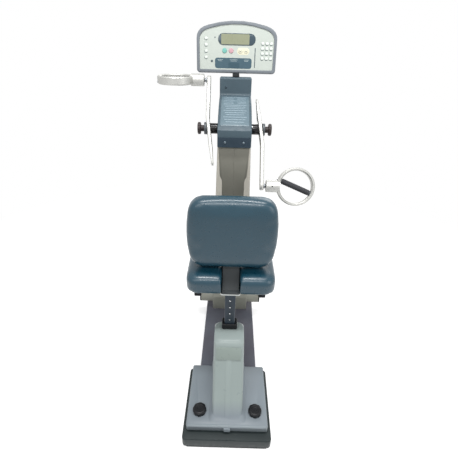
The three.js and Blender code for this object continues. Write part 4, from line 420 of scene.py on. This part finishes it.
def carried(piece, node, look=None, replace=True):
    """The piece rides with the node's body, wears its finish and, where asked, stands in its place."""
    slot = slot_of_node[node]
    piece.data.materials.clear()
    piece.data.materials.append(FINISHES[look or slot])
    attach(piece, body_of_node[node])
    if replace:
        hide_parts(node)
        done.add(node)
    return piece


def merged_copy(node, name):
    """A copy of a CAD node as one joined mesh with whole flat faces."""
    piece = bpy.data.objects.new(name, nodes[node].data.copy())
    bpy.context.scene.collection.objects.link(piece)
    choose_only(piece)
    bpy.ops.object.mode_set(mode="EDIT")
    bpy.ops.mesh.select_all(action="SELECT")
    bpy.ops.mesh.customdata_custom_splitnormals_clear()
    bpy.ops.mesh.remove_doubles(threshold=WELD)
    bpy.ops.mesh.dissolve_limited(angle_limit=FLAT_ANGLE)
    bpy.ops.object.mode_set(mode="OBJECT")
    return piece


def rounded(node, look=None, edge=0.0012, segments=2):
    """The finished copy of a node, with its edges rounded."""
    piece = merged_copy(node, node + "_finished")
    if edge:
        apply_modifier(piece, "BEVEL", width=edge, segments=segments, limit_method="ANGLE",
                       angle_limit=SHARP_ANGLE, harden_normals=False)
    choose_only(piece)
    bpy.ops.object.shade_smooth_by_angle(angle=SHARP_ANGLE)
    return carried(piece, node, look)


# %% [markdown]
# ## Pads that swell
#
# The seat and the backrest are foam under one stretched skin, with no seam on their faces. A block with round edges
# looks like wood, because on real foam no face stays flat: the skin pulls in at the corners and the middle rises.
# Cloth simulation gives that for little work. Each pad is remeshed into an even net and let out by 2 or 4 mm, since
# the smoothing at the end draws it in again. It is blown up by pressure without gravity, no point may move further
# than a cap, and it is held where it lies on the plate or touches the bracket, so it keeps its place.

# %% Swell a pad
PAD_VOXEL = 0.0065
PAD_FRAMES = 20
PAD_PRESSURE = 4.0
SKIN_STIFFNESS = 30.0
SKIN_BENDING = 20.0
SMOOTH_FACTOR = 0.5
NET_PASSES, SKIN_PASSES = 3, 18


def evened(piece, voxel):
    """The same form as an even net of quads."""
    apply_modifier(piece, "REMESH", mode="VOXEL", voxel_size=voxel)
    apply_modifier(piece, "SMOOTH", factor=SMOOTH_FACTOR, iterations=NET_PASSES)


def let_out(piece, amount, held):
    """Moves each point that isn't held outwards along its own normal."""
    piece.data.vertices.foreach_set("select", [held(point.co) < 1 for point in piece.data.vertices])
    choose_only(piece)
    bpy.ops.object.mode_set(mode="EDIT")
    bpy.ops.transform.shrink_fatten(value=amount)
    bpy.ops.object.mode_set(mode="OBJECT")


def swollen(node, held, amount, cap):
    """The pad of a node, let out and blown up by at most cap; held says how firmly a point is kept, 0 to 1."""
    pad = merged_copy(node, node + "_upholstered")
    evened(pad, PAD_VOXEL)
    let_out(pad, amount, held)
    group = pad.vertex_groups.new(name="held")
    for point in pad.data.vertices:
        group.add([point.index], held(point.co), "REPLACE")
    start = [point.co.copy() for point in pad.data.vertices]
    cloth = pad.modifiers.new("cloth", "CLOTH")
    cloth.settings.use_pressure = True
    cloth.settings.uniform_pressure_force = PAD_PRESSURE
    cloth.settings.effector_weights.gravity = 0
    cloth.settings.vertex_group_mass = "held"
    cloth.settings.tension_stiffness = cloth.settings.compression_stiffness = SKIN_STIFFNESS
    cloth.settings.shear_stiffness, cloth.settings.bending_stiffness = SKIN_STIFFNESS, SKIN_BENDING
    cloth.point_cache.frame_end = PAD_FRAMES
    for frame_number in range(1, PAD_FRAMES + 1):
        bpy.context.scene.frame_set(frame_number)
    choose_only(pad)
    bpy.ops.object.modifier_apply(modifier="cloth")
    bpy.context.scene.frame_set(1)
    farthest = 0
    for point, old in zip(pad.data.vertices, start):
        moved = point.co - old
        farthest = max(farthest, moved.length)
        if moved.length > cap:
            point.co = old + moved * (cap / moved.length)
    pad.vertex_groups.clear()
    group = pad.vertex_groups.new(name="free")
    for point in pad.data.vertices:
        group.add([point.index], 1 - held(point.co), "REPLACE")
    apply_modifier(pad, "SMOOTH", factor=SMOOTH_FACTOR, iterations=SKIN_PASSES, vertex_group="free")
    pad.vertex_groups.clear()
    apply_modifier(pad, "SUBSURF", levels=1, render_levels=1)
    choose_only(pad)
    bpy.ops.object.shade_smooth()
    print(pad.name, len(pad.data.vertices), "points, swelled", round(farthest * 1000, 1), "mm")
    return carried(pad, node)


# %% Upholster the seat and the backrest
seat_low, seat_high = (Vector(c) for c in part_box("seat_pad"))
back_low, bracket_high = Vector(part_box("backrest_pad")[0]), Vector(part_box("backrest_bracket")[1])
NOTCH_MARGIN = 0.012
NOTCH_ROUND = 0.03
PLATE_MARGIN = 0.006
SEAT_LET_OUT, SEAT_CAP = 0.002, 0.004
BACK_LET_OUT, BACK_CAP = 0.004, 0.003


def held_on_seat(place):
    """Firm where the pad lies on its plate and along the notch for the bracket."""
    if place.z < seat_low.z + PLATE_MARGIN:
        return 1.0
    beside = abs(place.x) < bracket_high.x + NOTCH_MARGIN and place.y < bracket_high.y + NOTCH_MARGIN
    return 1.0 if beside and place.z < seat_high.z - NOTCH_ROUND else 0.0


def held_on_backrest(place):
    """Firm where the bracket enters from below."""
    return 1.0 if place.z < back_low.z + PLATE_MARGIN and abs(place.x) < bracket_high.x else 0.0


swollen("seat_pad", held_on_seat, SEAT_LET_OUT, SEAT_CAP)
swollen("backrest_pad", held_on_backrest, BACK_LET_OUT, BACK_CAP)

# %% [markdown]
# ## Small plates
#
# Labels, the glass of a display, printed fields and key caps are all flat plates with round corners. One helper
# makes them the way they are drawn by hand: a plane at its size, its corners bevelled, pulled up by its thickness,
# and its upper edge bevelled so that it catches a line of light. The plate is then laid on the surface it sits on.

# %% Make a plate and lay it on a surface
CORNER_STEPS, EDGE_STEPS = 5, 2


def plate(name, width, depth, corner, thick, edge=0.0):
    """A plate that lies on the ground with its middle at the origin."""
    bpy.ops.object.select_all(action="DESELECT")
    bpy.ops.mesh.primitive_plane_add(size=1)
    piece = bpy.context.object
    piece.name = name
    piece.data.transform(Matrix.Diagonal((width, depth, 1, 1)))
    bpy.ops.object.mode_set(mode="EDIT")
    bpy.ops.mesh.select_all(action="SELECT")
    bpy.ops.mesh.bevel(offset=corner, segments=CORNER_STEPS, affect="VERTICES")
    bpy.ops.mesh.select_all(action="SELECT")
    bpy.ops.mesh.extrude_region_move(TRANSFORM_OT_translate={"value": (0, 0, thick)})
    if edge:
        bpy.ops.mesh.bevel(offset=edge, segments=EDGE_STEPS, affect="EDGES")
    bpy.ops.mesh.select_all(action="SELECT")
    bpy.ops.mesh.normals_make_consistent(inside=False)
    bpy.ops.object.mode_set(mode="OBJECT")
    bpy.ops.object.shade_smooth_by_angle(angle=SHARP_ANGLE)
    return piece


def laid(piece, place):
    """Moves the mesh itself, so that the object stays at the origin."""
    piece.data.transform(place)
    piece.data.update()
    return piece


def joined(pieces, name):
    """Several objects made one, under a new name."""
    choose_only(*pieces)
    bpy.ops.object.join()
    pieces[0].name = name
    return pieces[0]


def repeated(piece, places):
    """Copies of one mesh at several places, joined into one object."""
    copies = []
    for place in places:
        copy = piece.copy()
        copy.data = piece.data.copy()
        copy.data.transform(place)
        bpy.context.scene.collection.objects.link(copy)
        copies.append(copy)
    name = piece.name
    bpy.data.objects.remove(piece)
    return joined(copies, name)


print("a plate's corner has", CORNER_STEPS, "steps")

# %% [markdown]
# ## The console's face
#
# The face is a printed sheet over the keys. Its window shows an olive display between two dark ends, the keypad and
# the side keys are domes pressed into the sheet, and a dark field below holds three columns of print. The print
# itself is left out, and plain rules stand in its place. Everything here is laid on one plane, the panel's own, so
# the places below are simply millimetres on the face.

# %% Find the plane of the face
CONSOLE_FOOT = Vector((0, 0.560, 1.291))
FACE_TURN = math.radians(80)
FACE = Matrix.Translation(CONSOLE_FOOT) @ Matrix.Rotation(FACE_TURN, 4, "X")
heights = sorted({round((FACE.inverted() @ v.co).z, 5) for v in nodes["control_panel"].data.vertices})
window_heights = [(FACE.inverted() @ v.co).z for v in nodes["display_window"].data.vertices]
print("panel heights", heights[:3], heights[-3:], "window", round(max(window_heights), 5))

# %% [markdown]
# ## Fields on the face
#
# A printed field has no depth of its own, but a colour painted into the panel's material would need a mask. A plate
# half a millimetre thick is simpler, has a crisp edge in every view, and moves with the panel. Sizes and places are
# in millimetres on the face, and the name of the plate says what it is on the machine.

# %% Lay the display and the printed fields
MM = 0.001
PANEL_LEVEL = -4.0
LENS_LEVEL = -2.1
FIELD_THICK, PRINT_THICK = 0.5, 0.2


def on_face(x, y, level=PANEL_LEVEL):
    """The place of a point on the console's face, in millimetres right, up and out."""
    return FACE @ Matrix.Translation((x * MM, y * MM, level * MM))


def face_plate(name, x, y, size, corner, look, level=PANEL_LEVEL, thick=FIELD_THICK,
               node="control_panel"):
    """A thin field printed or laid on the face."""
    field = plate(name, size[0] * MM, size[1] * MM, corner * MM, thick * MM)
    return carried(laid(field, on_face(x, y, level)), node, look, replace=False)


face_plate("display_glass", -7.8, 156, (144.5, 47.5), 4, "lcd_olive", LENS_LEVEL, 0.4, "display_window")
face_plate("program_field", -15.5, 45.6, (191, 49.5), 12, "printed_field")
face_plate("program_field_middle", -12, 36, (58, 24), 3, "printed_field_deep", PANEL_LEVEL + FIELD_THICK,
           PRINT_THICK)
face_plate("card_slit", 96, 72.5, (4.2, 93), 2, "slit_dark")
face_plate("arrow_field", 34.5, 102, (64, 33), 16, "arrow_cream", PANEL_LEVEL, 0.4)
face_plate("alarm_lamp", -112, 163, (6, 6), 2.9, "slit_dark")
face_plate("sensor_window", -127, 54, (12, 11), 4, "dark_print_and_shadow")

RULES = ((-84, 62, 26), (-84, 56, 20), (-14, 62, 40), (-14, 56, 34), (52, 62, 26), (52, 56, 20))
RULE_BREADTH, RULE_CORNER = 1.6, 0.7
rules = [laid(plate("rule", width * MM, RULE_BREADTH * MM, RULE_CORNER * MM, PRINT_THICK * MM),
              on_face(x, y, PANEL_LEVEL + FIELD_THICK)) for x, y, width in RULES]
carried(joined(rules, "program_rules"), "control_panel", "print_pale", replace=False)
print(len(rules), "rules on the face")

# %% [markdown]
# ## Domes of the keypad
#
# The keypad and the four side keys are bumps pressed into the sheet, each with a painted shadow below it, a dark
# crescent. One dome and one dark plate for the shadow are modelled and copied to all 16 places, and the plate lies a
# little lower and to the left, which leaves the crescent.

# %% Lay the domes of the keypad and the side keys
ROWS = (-1.5, -0.5, 0.5, 1.5)
KEYPAD_MIDDLE, KEYPAD_PITCH = (156, 105), (22, 23)
SIDE_KEYS_MIDDLE, SIDE_KEYS_PITCH = (-157, 115), 29
DOMES = [(KEYPAD_MIDDLE[0] + KEYPAD_PITCH[0] * column, KEYPAD_MIDDLE[1] + KEYPAD_PITCH[1] * row)
         for row in ROWS for column in (-1, 0, 1)]
DOMES += [(SIDE_KEYS_MIDDLE[0], SIDE_KEYS_MIDDLE[1] + SIDE_KEYS_PITCH * row) for row in ROWS]
# Painted shadow: size, shift and lift of the dark plate under each dome.
SHADOW_PLATE_SIZE, SHADOW_PLATE_SHIFT, SHADOW_PLATE_LIFT = (0.0176, 0.0152, 0.0066, 0.0003), (-0.8, -1.7), 0.05
CAP_SIZE, CAP_EDGE = (0.0156, 0.0126, 0.0056, 0.0017), 0.0009
# Painted shadow: dark plates under the domes, shifted so that only a crescent shows.
dome_shadows = repeated(plate("dome_shadow_plates", *SHADOW_PLATE_SIZE),
                [on_face(x + SHADOW_PLATE_SHIFT[0], y + SHADOW_PLATE_SHIFT[1], PANEL_LEVEL + SHADOW_PLATE_LIFT) for x, y in DOMES])
carried(dome_shadows, "control_panel", "dark_print_and_shadow", replace=False)
caps = repeated(plate("dome_caps", *CAP_SIZE, edge=CAP_EDGE), [on_face(x, y, PANEL_LEVEL) for x, y in DOMES])
carried(caps, "control_panel", "dome_pale", replace=False)
print(len(DOMES), "domes")

# %% [markdown]
# ## Marks on the arrow keys
#
# The two arrow keys carry a dark chevron each. Its two arms are small plates, turned to either side and joined, and
# they ride on the key, so that they sink with it when it is pressed.

# %% Mark the two arrow keys
ARM_LENGTH, ARM_BREADTH, ARM_CORNER, ARM_THICK = 8.5, 2.0, 0.6, 0.3
ARM_ANGLE, ARM_OFFSET = 42, 2.6
KEY_ROW, KEY_TOP = 102, -1.0
for node, x in (("arrow_key_down", 20), ("arrow_key_up", 49)):
    arms = []
    for side in (-1, 1):
        turn = Matrix.Rotation(math.radians(ARM_ANGLE * side), 4, "Z")
        arm = plate("arm", ARM_LENGTH * MM, ARM_BREADTH * MM, ARM_CORNER * MM, ARM_THICK * MM)
        arms.append(laid(arm, on_face(x + side * ARM_OFFSET, KEY_ROW, KEY_TOP) @ turn))
    carried(joined(arms, node + "_chevron"), node, "dark_print_and_shadow", replace=False)
print("two chevrons, arms", ARM_LENGTH, "mm long")

# %% [markdown]
# ## Turned pieces
#
# Grips, bolts and screw heads are round about one line. They are made as on a lathe: a circle is pulled up along its
# axis again and again, and each new ring is resized to the next radius of the profile. The grips are ribbed rubber,
# which a bump would only fake, so each rib is a real ring of the profile.

# %% Turn a profile
TURNED_SIDES, COLLAR_SIDES, SCREW_SIDES = 40, 32, 24
TURNED_ANGLE = math.radians(50)


def turned(name, profile, sides=TURNED_SIDES):
    """A closed turned piece about the vertical axis through the origin."""
    bpy.ops.object.select_all(action="DESELECT")
    radius, height = profile[0]
    bpy.ops.mesh.primitive_circle_add(vertices=sides, radius=radius, fill_type="NGON")
    piece = bpy.context.object
    piece.name = name
    piece.data.transform(Matrix.Translation((0, 0, height)))
    bpy.ops.object.mode_set(mode="EDIT")
    bpy.ops.mesh.select_all(action="SELECT")
    for next_radius, next_height in profile[1:]:
        bpy.ops.mesh.extrude_region_move(TRANSFORM_OT_translate={"value": (0, 0, next_height - height)})
        share = next_radius / radius
        bpy.ops.transform.resize(value=(share, share, 1), center_override=(0, 0, next_height))
        radius, height = next_radius, next_height
    bpy.ops.mesh.select_all(action="SELECT")
    bpy.ops.mesh.normals_make_consistent(inside=False)
    bpy.ops.object.mode_set(mode="OBJECT")
    bpy.ops.object.shade_smooth_by_angle(angle=TURNED_ANGLE)
    return piece


def aimed(place, direction):
    """Stands a turned piece at a place, with its axis along a direction."""
    return Matrix.Translation(place) @ Vector(direction).to_track_quat("Z", "Y").to_matrix().to_4x4()


FAR_END_SHARE, NEAR_END_SHARE = 1.7, 0.3


def long_axis(node):
    """The middle, the direction and the length of a long piece, from the points at its two ends."""
    points = [v.co for v in nodes[node].data.vertices]
    middle = sum(points, Vector()) / len(points)
    far = max(points, key=lambda p: (p - middle).length)
    reach = (far - middle).length
    low_end = [p for p in points if (p - far).length > FAR_END_SHARE * reach]
    high_end = [p for p in points if (p - far).length < NEAR_END_SHARE * reach]
    low, high = (sum(end, Vector()) / len(end) for end in (low_end, high_end))
    return (low + high) / 2, (high - low).normalized(), (high - low).length


print("a turned piece has", TURNED_SIDES, "sides")

# %% [markdown]
# ## Grips and their bolts
#
# Each ring carries a rubber grip across its middle, held by a collar and a bolt at either end. The ribs of the rubber
# are written as one short wave of radii and repeated along the bar. The collars and bolts ride on the ring, because
# they don't belong to the rubber.

# %% Turn the grips and their bolts
RIBS = 15
GRIP_RADIUS, RIB_DEPTH, GRIP_END, RIBBED_END = 0.0138, 0.0011, 0.001, 0.003
RIB_WAVE = ((0.1, 0), (0.28, 0.8), (0.5, 1), (0.72, 0.8), (0.9, 0))
SLEEVE_RADIUS, COLLAR_RADIUS, COLLAR_STEP = 0.0118, 0.0132, 0.001
SLEEVE_INSIDE, COLLAR_START, COLLAR_FLARE = 0.003, 0.004, 0.003
BOLT_SINK = 0.0004
RING_OUTSIDE, RING_INSIDE = 0.0915, 0.0775
BOLT = ((0.0058, 0), (0.0058, 0.0016), (0.0052, 0.0026), (0.0036, 0.0031), (0.003, 0.0018), (0.001, 0.0018))
for side in ("left", "right"):
    middle, direction, length = long_axis("grip_" + side)
    profile = [(GRIP_RADIUS - RIB_DEPTH, -length / 2 + GRIP_END)]
    pitch = (length - 2 * RIBBED_END) / RIBS
    for rib in range(RIBS):
        foot = -length / 2 + RIBBED_END + rib * pitch
        for share, raised in RIB_WAVE:
            profile.append((GRIP_RADIUS - RIB_DEPTH * (1 - raised), foot + share * pitch))
    profile.append((GRIP_RADIUS - RIB_DEPTH, length / 2 - GRIP_END))
    ribbed = turned("grip_ribbed_" + side, profile)
    carried(laid(ribbed, aimed(middle, direction)), "grip_" + side)
    sleeve = ((SLEEVE_RADIUS, length / 2 - SLEEVE_INSIDE), (SLEEVE_RADIUS, RING_INSIDE - COLLAR_START),
              (COLLAR_RADIUS, RING_INSIDE - COLLAR_FLARE), (COLLAR_RADIUS, RING_INSIDE + COLLAR_STEP))
    collars = repeated(turned("grip_collars_" + side, sleeve, COLLAR_SIDES),
                       [aimed(middle, direction * end) for end in (-1, 1)])
    carried(collars, "handle_ring_" + side, "flange_grey", replace=False)
    heads = repeated(turned("grip_bolts_" + side, BOLT, SCREW_SIDES),
                     [aimed(middle + direction * end * (RING_OUTSIDE - BOLT_SINK), direction * end)
                      for end in (-1, 1)])
    carried(heads, "handle_ring_" + side, "bolt_steel", replace=False)
    print(side, "grip", round(length * 1000, 1), "mm long")

# %% [markdown]
# ## Plates and screws on the housings
#
# On the real machine a printed plate covers the sloped face of the upper housing and a small one sits on the
# pedestal. Their print names things that this part does not carry, so the upper one has plain rules and the lower
# one is bare. Each is still a thin plate of its own with a soft edge, because that is what the light picks out.

# %% Lay the large plate on the slope
CLEAR_OF_ALL = 3


def on_surface(node, x, y):
    """A place on the upper side of a node under (x, y), with the surface's normal as Z."""
    hit, place, normal, _ = nodes[node].ray_cast(Vector((x, y, CLEAR_OF_ALL)), Vector((0, 0, -1)))
    assert hit, (node, x, y)
    side = Vector((1, 0, 0))
    return Matrix.Translation(place) @ Matrix((side, normal.cross(side), normal)).transposed().to_4x4()


GUIDE_WIDTH, GUIDE_REAR, GUIDE_FRONT = 0.136, 0.219, 0.434
GUIDE_THICK, GUIDE_EDGE, GUIDE_START, GUIDE_CUTS = 0.0007, 0.0003, 1.4, 40
bpy.ops.object.select_all(action="DESELECT")
bpy.ops.mesh.primitive_grid_add(x_subdivisions=2, y_subdivisions=GUIDE_CUTS, size=1)
guide = bpy.context.object
guide.name = "instruction_plate"
laid(guide, Matrix.Translation((0, (GUIDE_REAR + GUIDE_FRONT) / 2, GUIDE_START))
     @ Matrix.Diagonal((GUIDE_WIDTH, GUIDE_FRONT - GUIDE_REAR, 1, 1)))
apply_modifier(guide, "SHRINKWRAP", target=nodes["top_housing_rear"], wrap_method="PROJECT", use_project_z=True,
               use_negative_direction=True, use_positive_direction=False)
apply_modifier(guide, "SOLIDIFY", thickness=GUIDE_THICK, offset=1)
apply_modifier(guide, "BEVEL", width=GUIDE_EDGE, segments=EDGE_STEPS, limit_method="ANGLE", angle_limit=SHARP_ANGLE)
choose_only(guide)
bpy.ops.object.shade_smooth_by_angle(angle=SHARP_ANGLE)
carried(guide, "top_housing_rear", "label_slate", replace=False)
print("plate", round((GUIDE_FRONT - GUIDE_REAR) * 1000), "mm long")

# %% [markdown]
# ## Rules on the plate, and the bare plate
#
# Fifteen rows of thin rules take the place of the small print. Some rows have a gap and the others differ a little
# in length, so that they read as lines of print from afar. The pedestal's plate stays bare.

# %% Rule the plate and lay the bare one
RULE_ROWS, SPLIT_ROWS = 15, (1, 2, 4, 5)
RULE_TOP, RULE_PITCH = 0.425, 0.0134
RULE_DEPTH, RULE_END, RULE_THICK = 0.0026, 0.0009, 0.0002
SPLIT_SPANS = ((-0.031, 0.048), (0.032, 0.044))
LONGEST_RULE, SHORTER_BY = 0.112, 0.012
rules = []
for row in range(RULE_ROWS):
    y = RULE_TOP - row * RULE_PITCH
    spans = SPLIT_SPANS if row in SPLIT_ROWS else ((0, LONGEST_RULE - SHORTER_BY * (row % 3)),)
    for x, width in spans:
        rule = plate("rule", width, RULE_DEPTH, RULE_END, RULE_THICK)
        rules.append(laid(rule, on_surface("top_housing_rear", x, y) @ Matrix.Translation((0, 0, GUIDE_THICK))))
carried(joined(rules, "instruction_rules"), "top_housing_rear", "print_faint", replace=False)
print(len(rules), "rules on the housing's plate")

BARE_SLOPE = math.atan2(0.03, 0.0194)
BARE_PLACE = Matrix.Translation((0, -0.4337, 0.319)) @ Matrix.Rotation(BARE_SLOPE, 4, "X")
BARE_SIZE, BARE_EDGE = (0.104, 0.05, 0.006, 0.0042), 0.0008
bare = plate("pedestal_plate", *BARE_SIZE, edge=BARE_EDGE)
carried(laid(bare, BARE_PLACE), "seat_pedestal", "label_grey", replace=False)

# %% [markdown]
# ## Screws
#
# A screw head is turned from one short profile with a hollow for its drive. Those that the photograph shows stand at
# written places. Those on the far side are found by looking back at the piece along Y, so that each sits square on
# whatever slope is there.

# %% Fit the small screws
HEAD = ((0.0052, 0), (0.0052, 0.0012), (0.0044, 0.0021), (0.0026, 0.0024), (0.0022, 0.0012), (0.0008, 0.0012))
SCREWS = (
    ("housing_screw", HEAD, "top_housing_rear", "screw_dark", (-0.049, 0.4583, 1.231), (0, -1, 0)),
    ("panel_screw_left", HEAD, "service_panel", "screw_grey", (-0.044, 0.1914, 1.023), (0, -1, 0)),
    ("panel_screw_right", HEAD, "service_panel", "screw_grey", (0.044, 0.1914, 1.023), (0, -1, 0)),
    ("hub_screw", HEAD, "crank_hub_right", "bolt_steel", (0.086, 0.2712, 1.0797), (0, -0.76, 0.65)),
)
for name, profile, node, look, place, direction in SCREWS:
    carried(laid(turned(name, profile, SCREW_SIDES), aimed(place, direction)), node, look, replace=False)


def on_front(node, x, z):
    """A place on the far side of a node, with the surface's normal, found by looking back along Y."""
    hit, place, normal, _ = nodes[node].ray_cast(Vector((x, CLEAR_OF_ALL, z)), Vector((0, -1, 0)))
    assert hit, (node, x, z)
    return aimed(place, normal)


FRONT_SCREWS = (
    ("console_back_shell", [(x, z) for x in (-0.17, 0.17) for z in (1.325, 1.44)]),
    ("top_housing_front", [(x, z) for x in (-0.062, 0.062) for z in (1.03, 1.25)]),
    ("front_cover", [(x, z) for x in (-0.05, 0.05) for z in (0.13, 0.53, 0.95)]),
)
for node, places in FRONT_SCREWS:
    heads = repeated(turned(node + "_screws", HEAD, SCREW_SIDES), [on_front(node, x, z) for x, z in places])
    carried(heads, node, "screw_dark", replace=False)
print(len(SCREWS) + sum(len(places) for _, places in FRONT_SCREWS), "screws")

# %% [markdown]
# ## Painted highlights in the post's holes, and the base knobs
#
# Each hole of the seat post shows a pale dot, the bore's lit lower edge. A small pale plug a little below the face
# paints that highlight from every side. The base knobs are moulded with raised rings on their crowns, so a turned cap
# with two grooves lies over the plain crown of the solid.

# %% Paint highlights into the holes and cap the knobs
# Painted highlight: the profile of a pale plug that stands in for each hole's lit lower edge.
HOLE_HIGHLIGHT = ((0.0034, -0.0034), (0.0034, -0.0008), (0.0031, -0.0004), (0.002, -0.0003), (0.0008, -0.0003))
HOLES, HOLE_TOP, HOLE_PITCH = 9, 0.5147, 0.035
post_low = Vector(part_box("seat_post")[0])
hole_highlights = repeated(turned("hole_highlight_plugs", HOLE_HIGHLIGHT, SCREW_SIDES),
                   [aimed((0, post_low.y, HOLE_TOP - step * HOLE_PITCH), (0, -1, 0)) for step in range(HOLES)])
carried(hole_highlights, "seat_post", "bolt_steel", replace=False)
CAP_SIDES = 48
KNOB_CAP = ((0.0232, -0.001), (0.0232, 0.0003), (0.0215, 0.0011), (0.0182, 0.0014), (0.0174, 0.0005),
            (0.0154, 0.0005), (0.0146, 0.0016), (0.0106, 0.0018), (0.0098, 0.0009), (0.0078, 0.0009),
            (0.007, 0.002), (0.002, 0.0021))
for side in ("left", "right"):
    low, high = (Vector(c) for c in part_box("base_knob_" + side))
    cap = turned("base_knob_cap_" + side, KNOB_CAP, CAP_SIDES)
    top = Vector(((low.x + high.x) / 2, (low.y + high.y) / 2, high.z))
    carried(laid(cap, Matrix.Translation(top)), "base_knob_" + side, replace=False)
print(HOLES, "plugs, two caps")

# %% [markdown]
# ## Everything else
#
# All nodes that nothing stands for yet get their rounded copy here. The two flat panels get no bevel, because on
# their large many-sided faces it leaves streaks in the light. The two rings get none either: their solids already
# have chamfers of 5 mm. The clamps, hubs and the service panel wear another finish than their slot's, because the
# photograph shows them in another colour.

# %% Round every other node
OTHER_LOOKS = {
    "clamp_knob_left": "knob_brown", "clamp_knob_right": "knob_brown", "crank_hub_left": "hub_black",
    "crank_hub_right": "hub_black", "clamp_flange_left": "flange_grey", "clamp_flange_right": "flange_grey",
}
rounded("control_panel", edge=0)
rounded("service_panel", "slate_dark", edge=0)
for side in ("left", "right"):
    rounded("handle_ring_" + side, edge=0)
for node, look in OTHER_LOOKS.items():
    rounded(node, look)
for node in nodes:
    if node not in done:
        rounded(node)
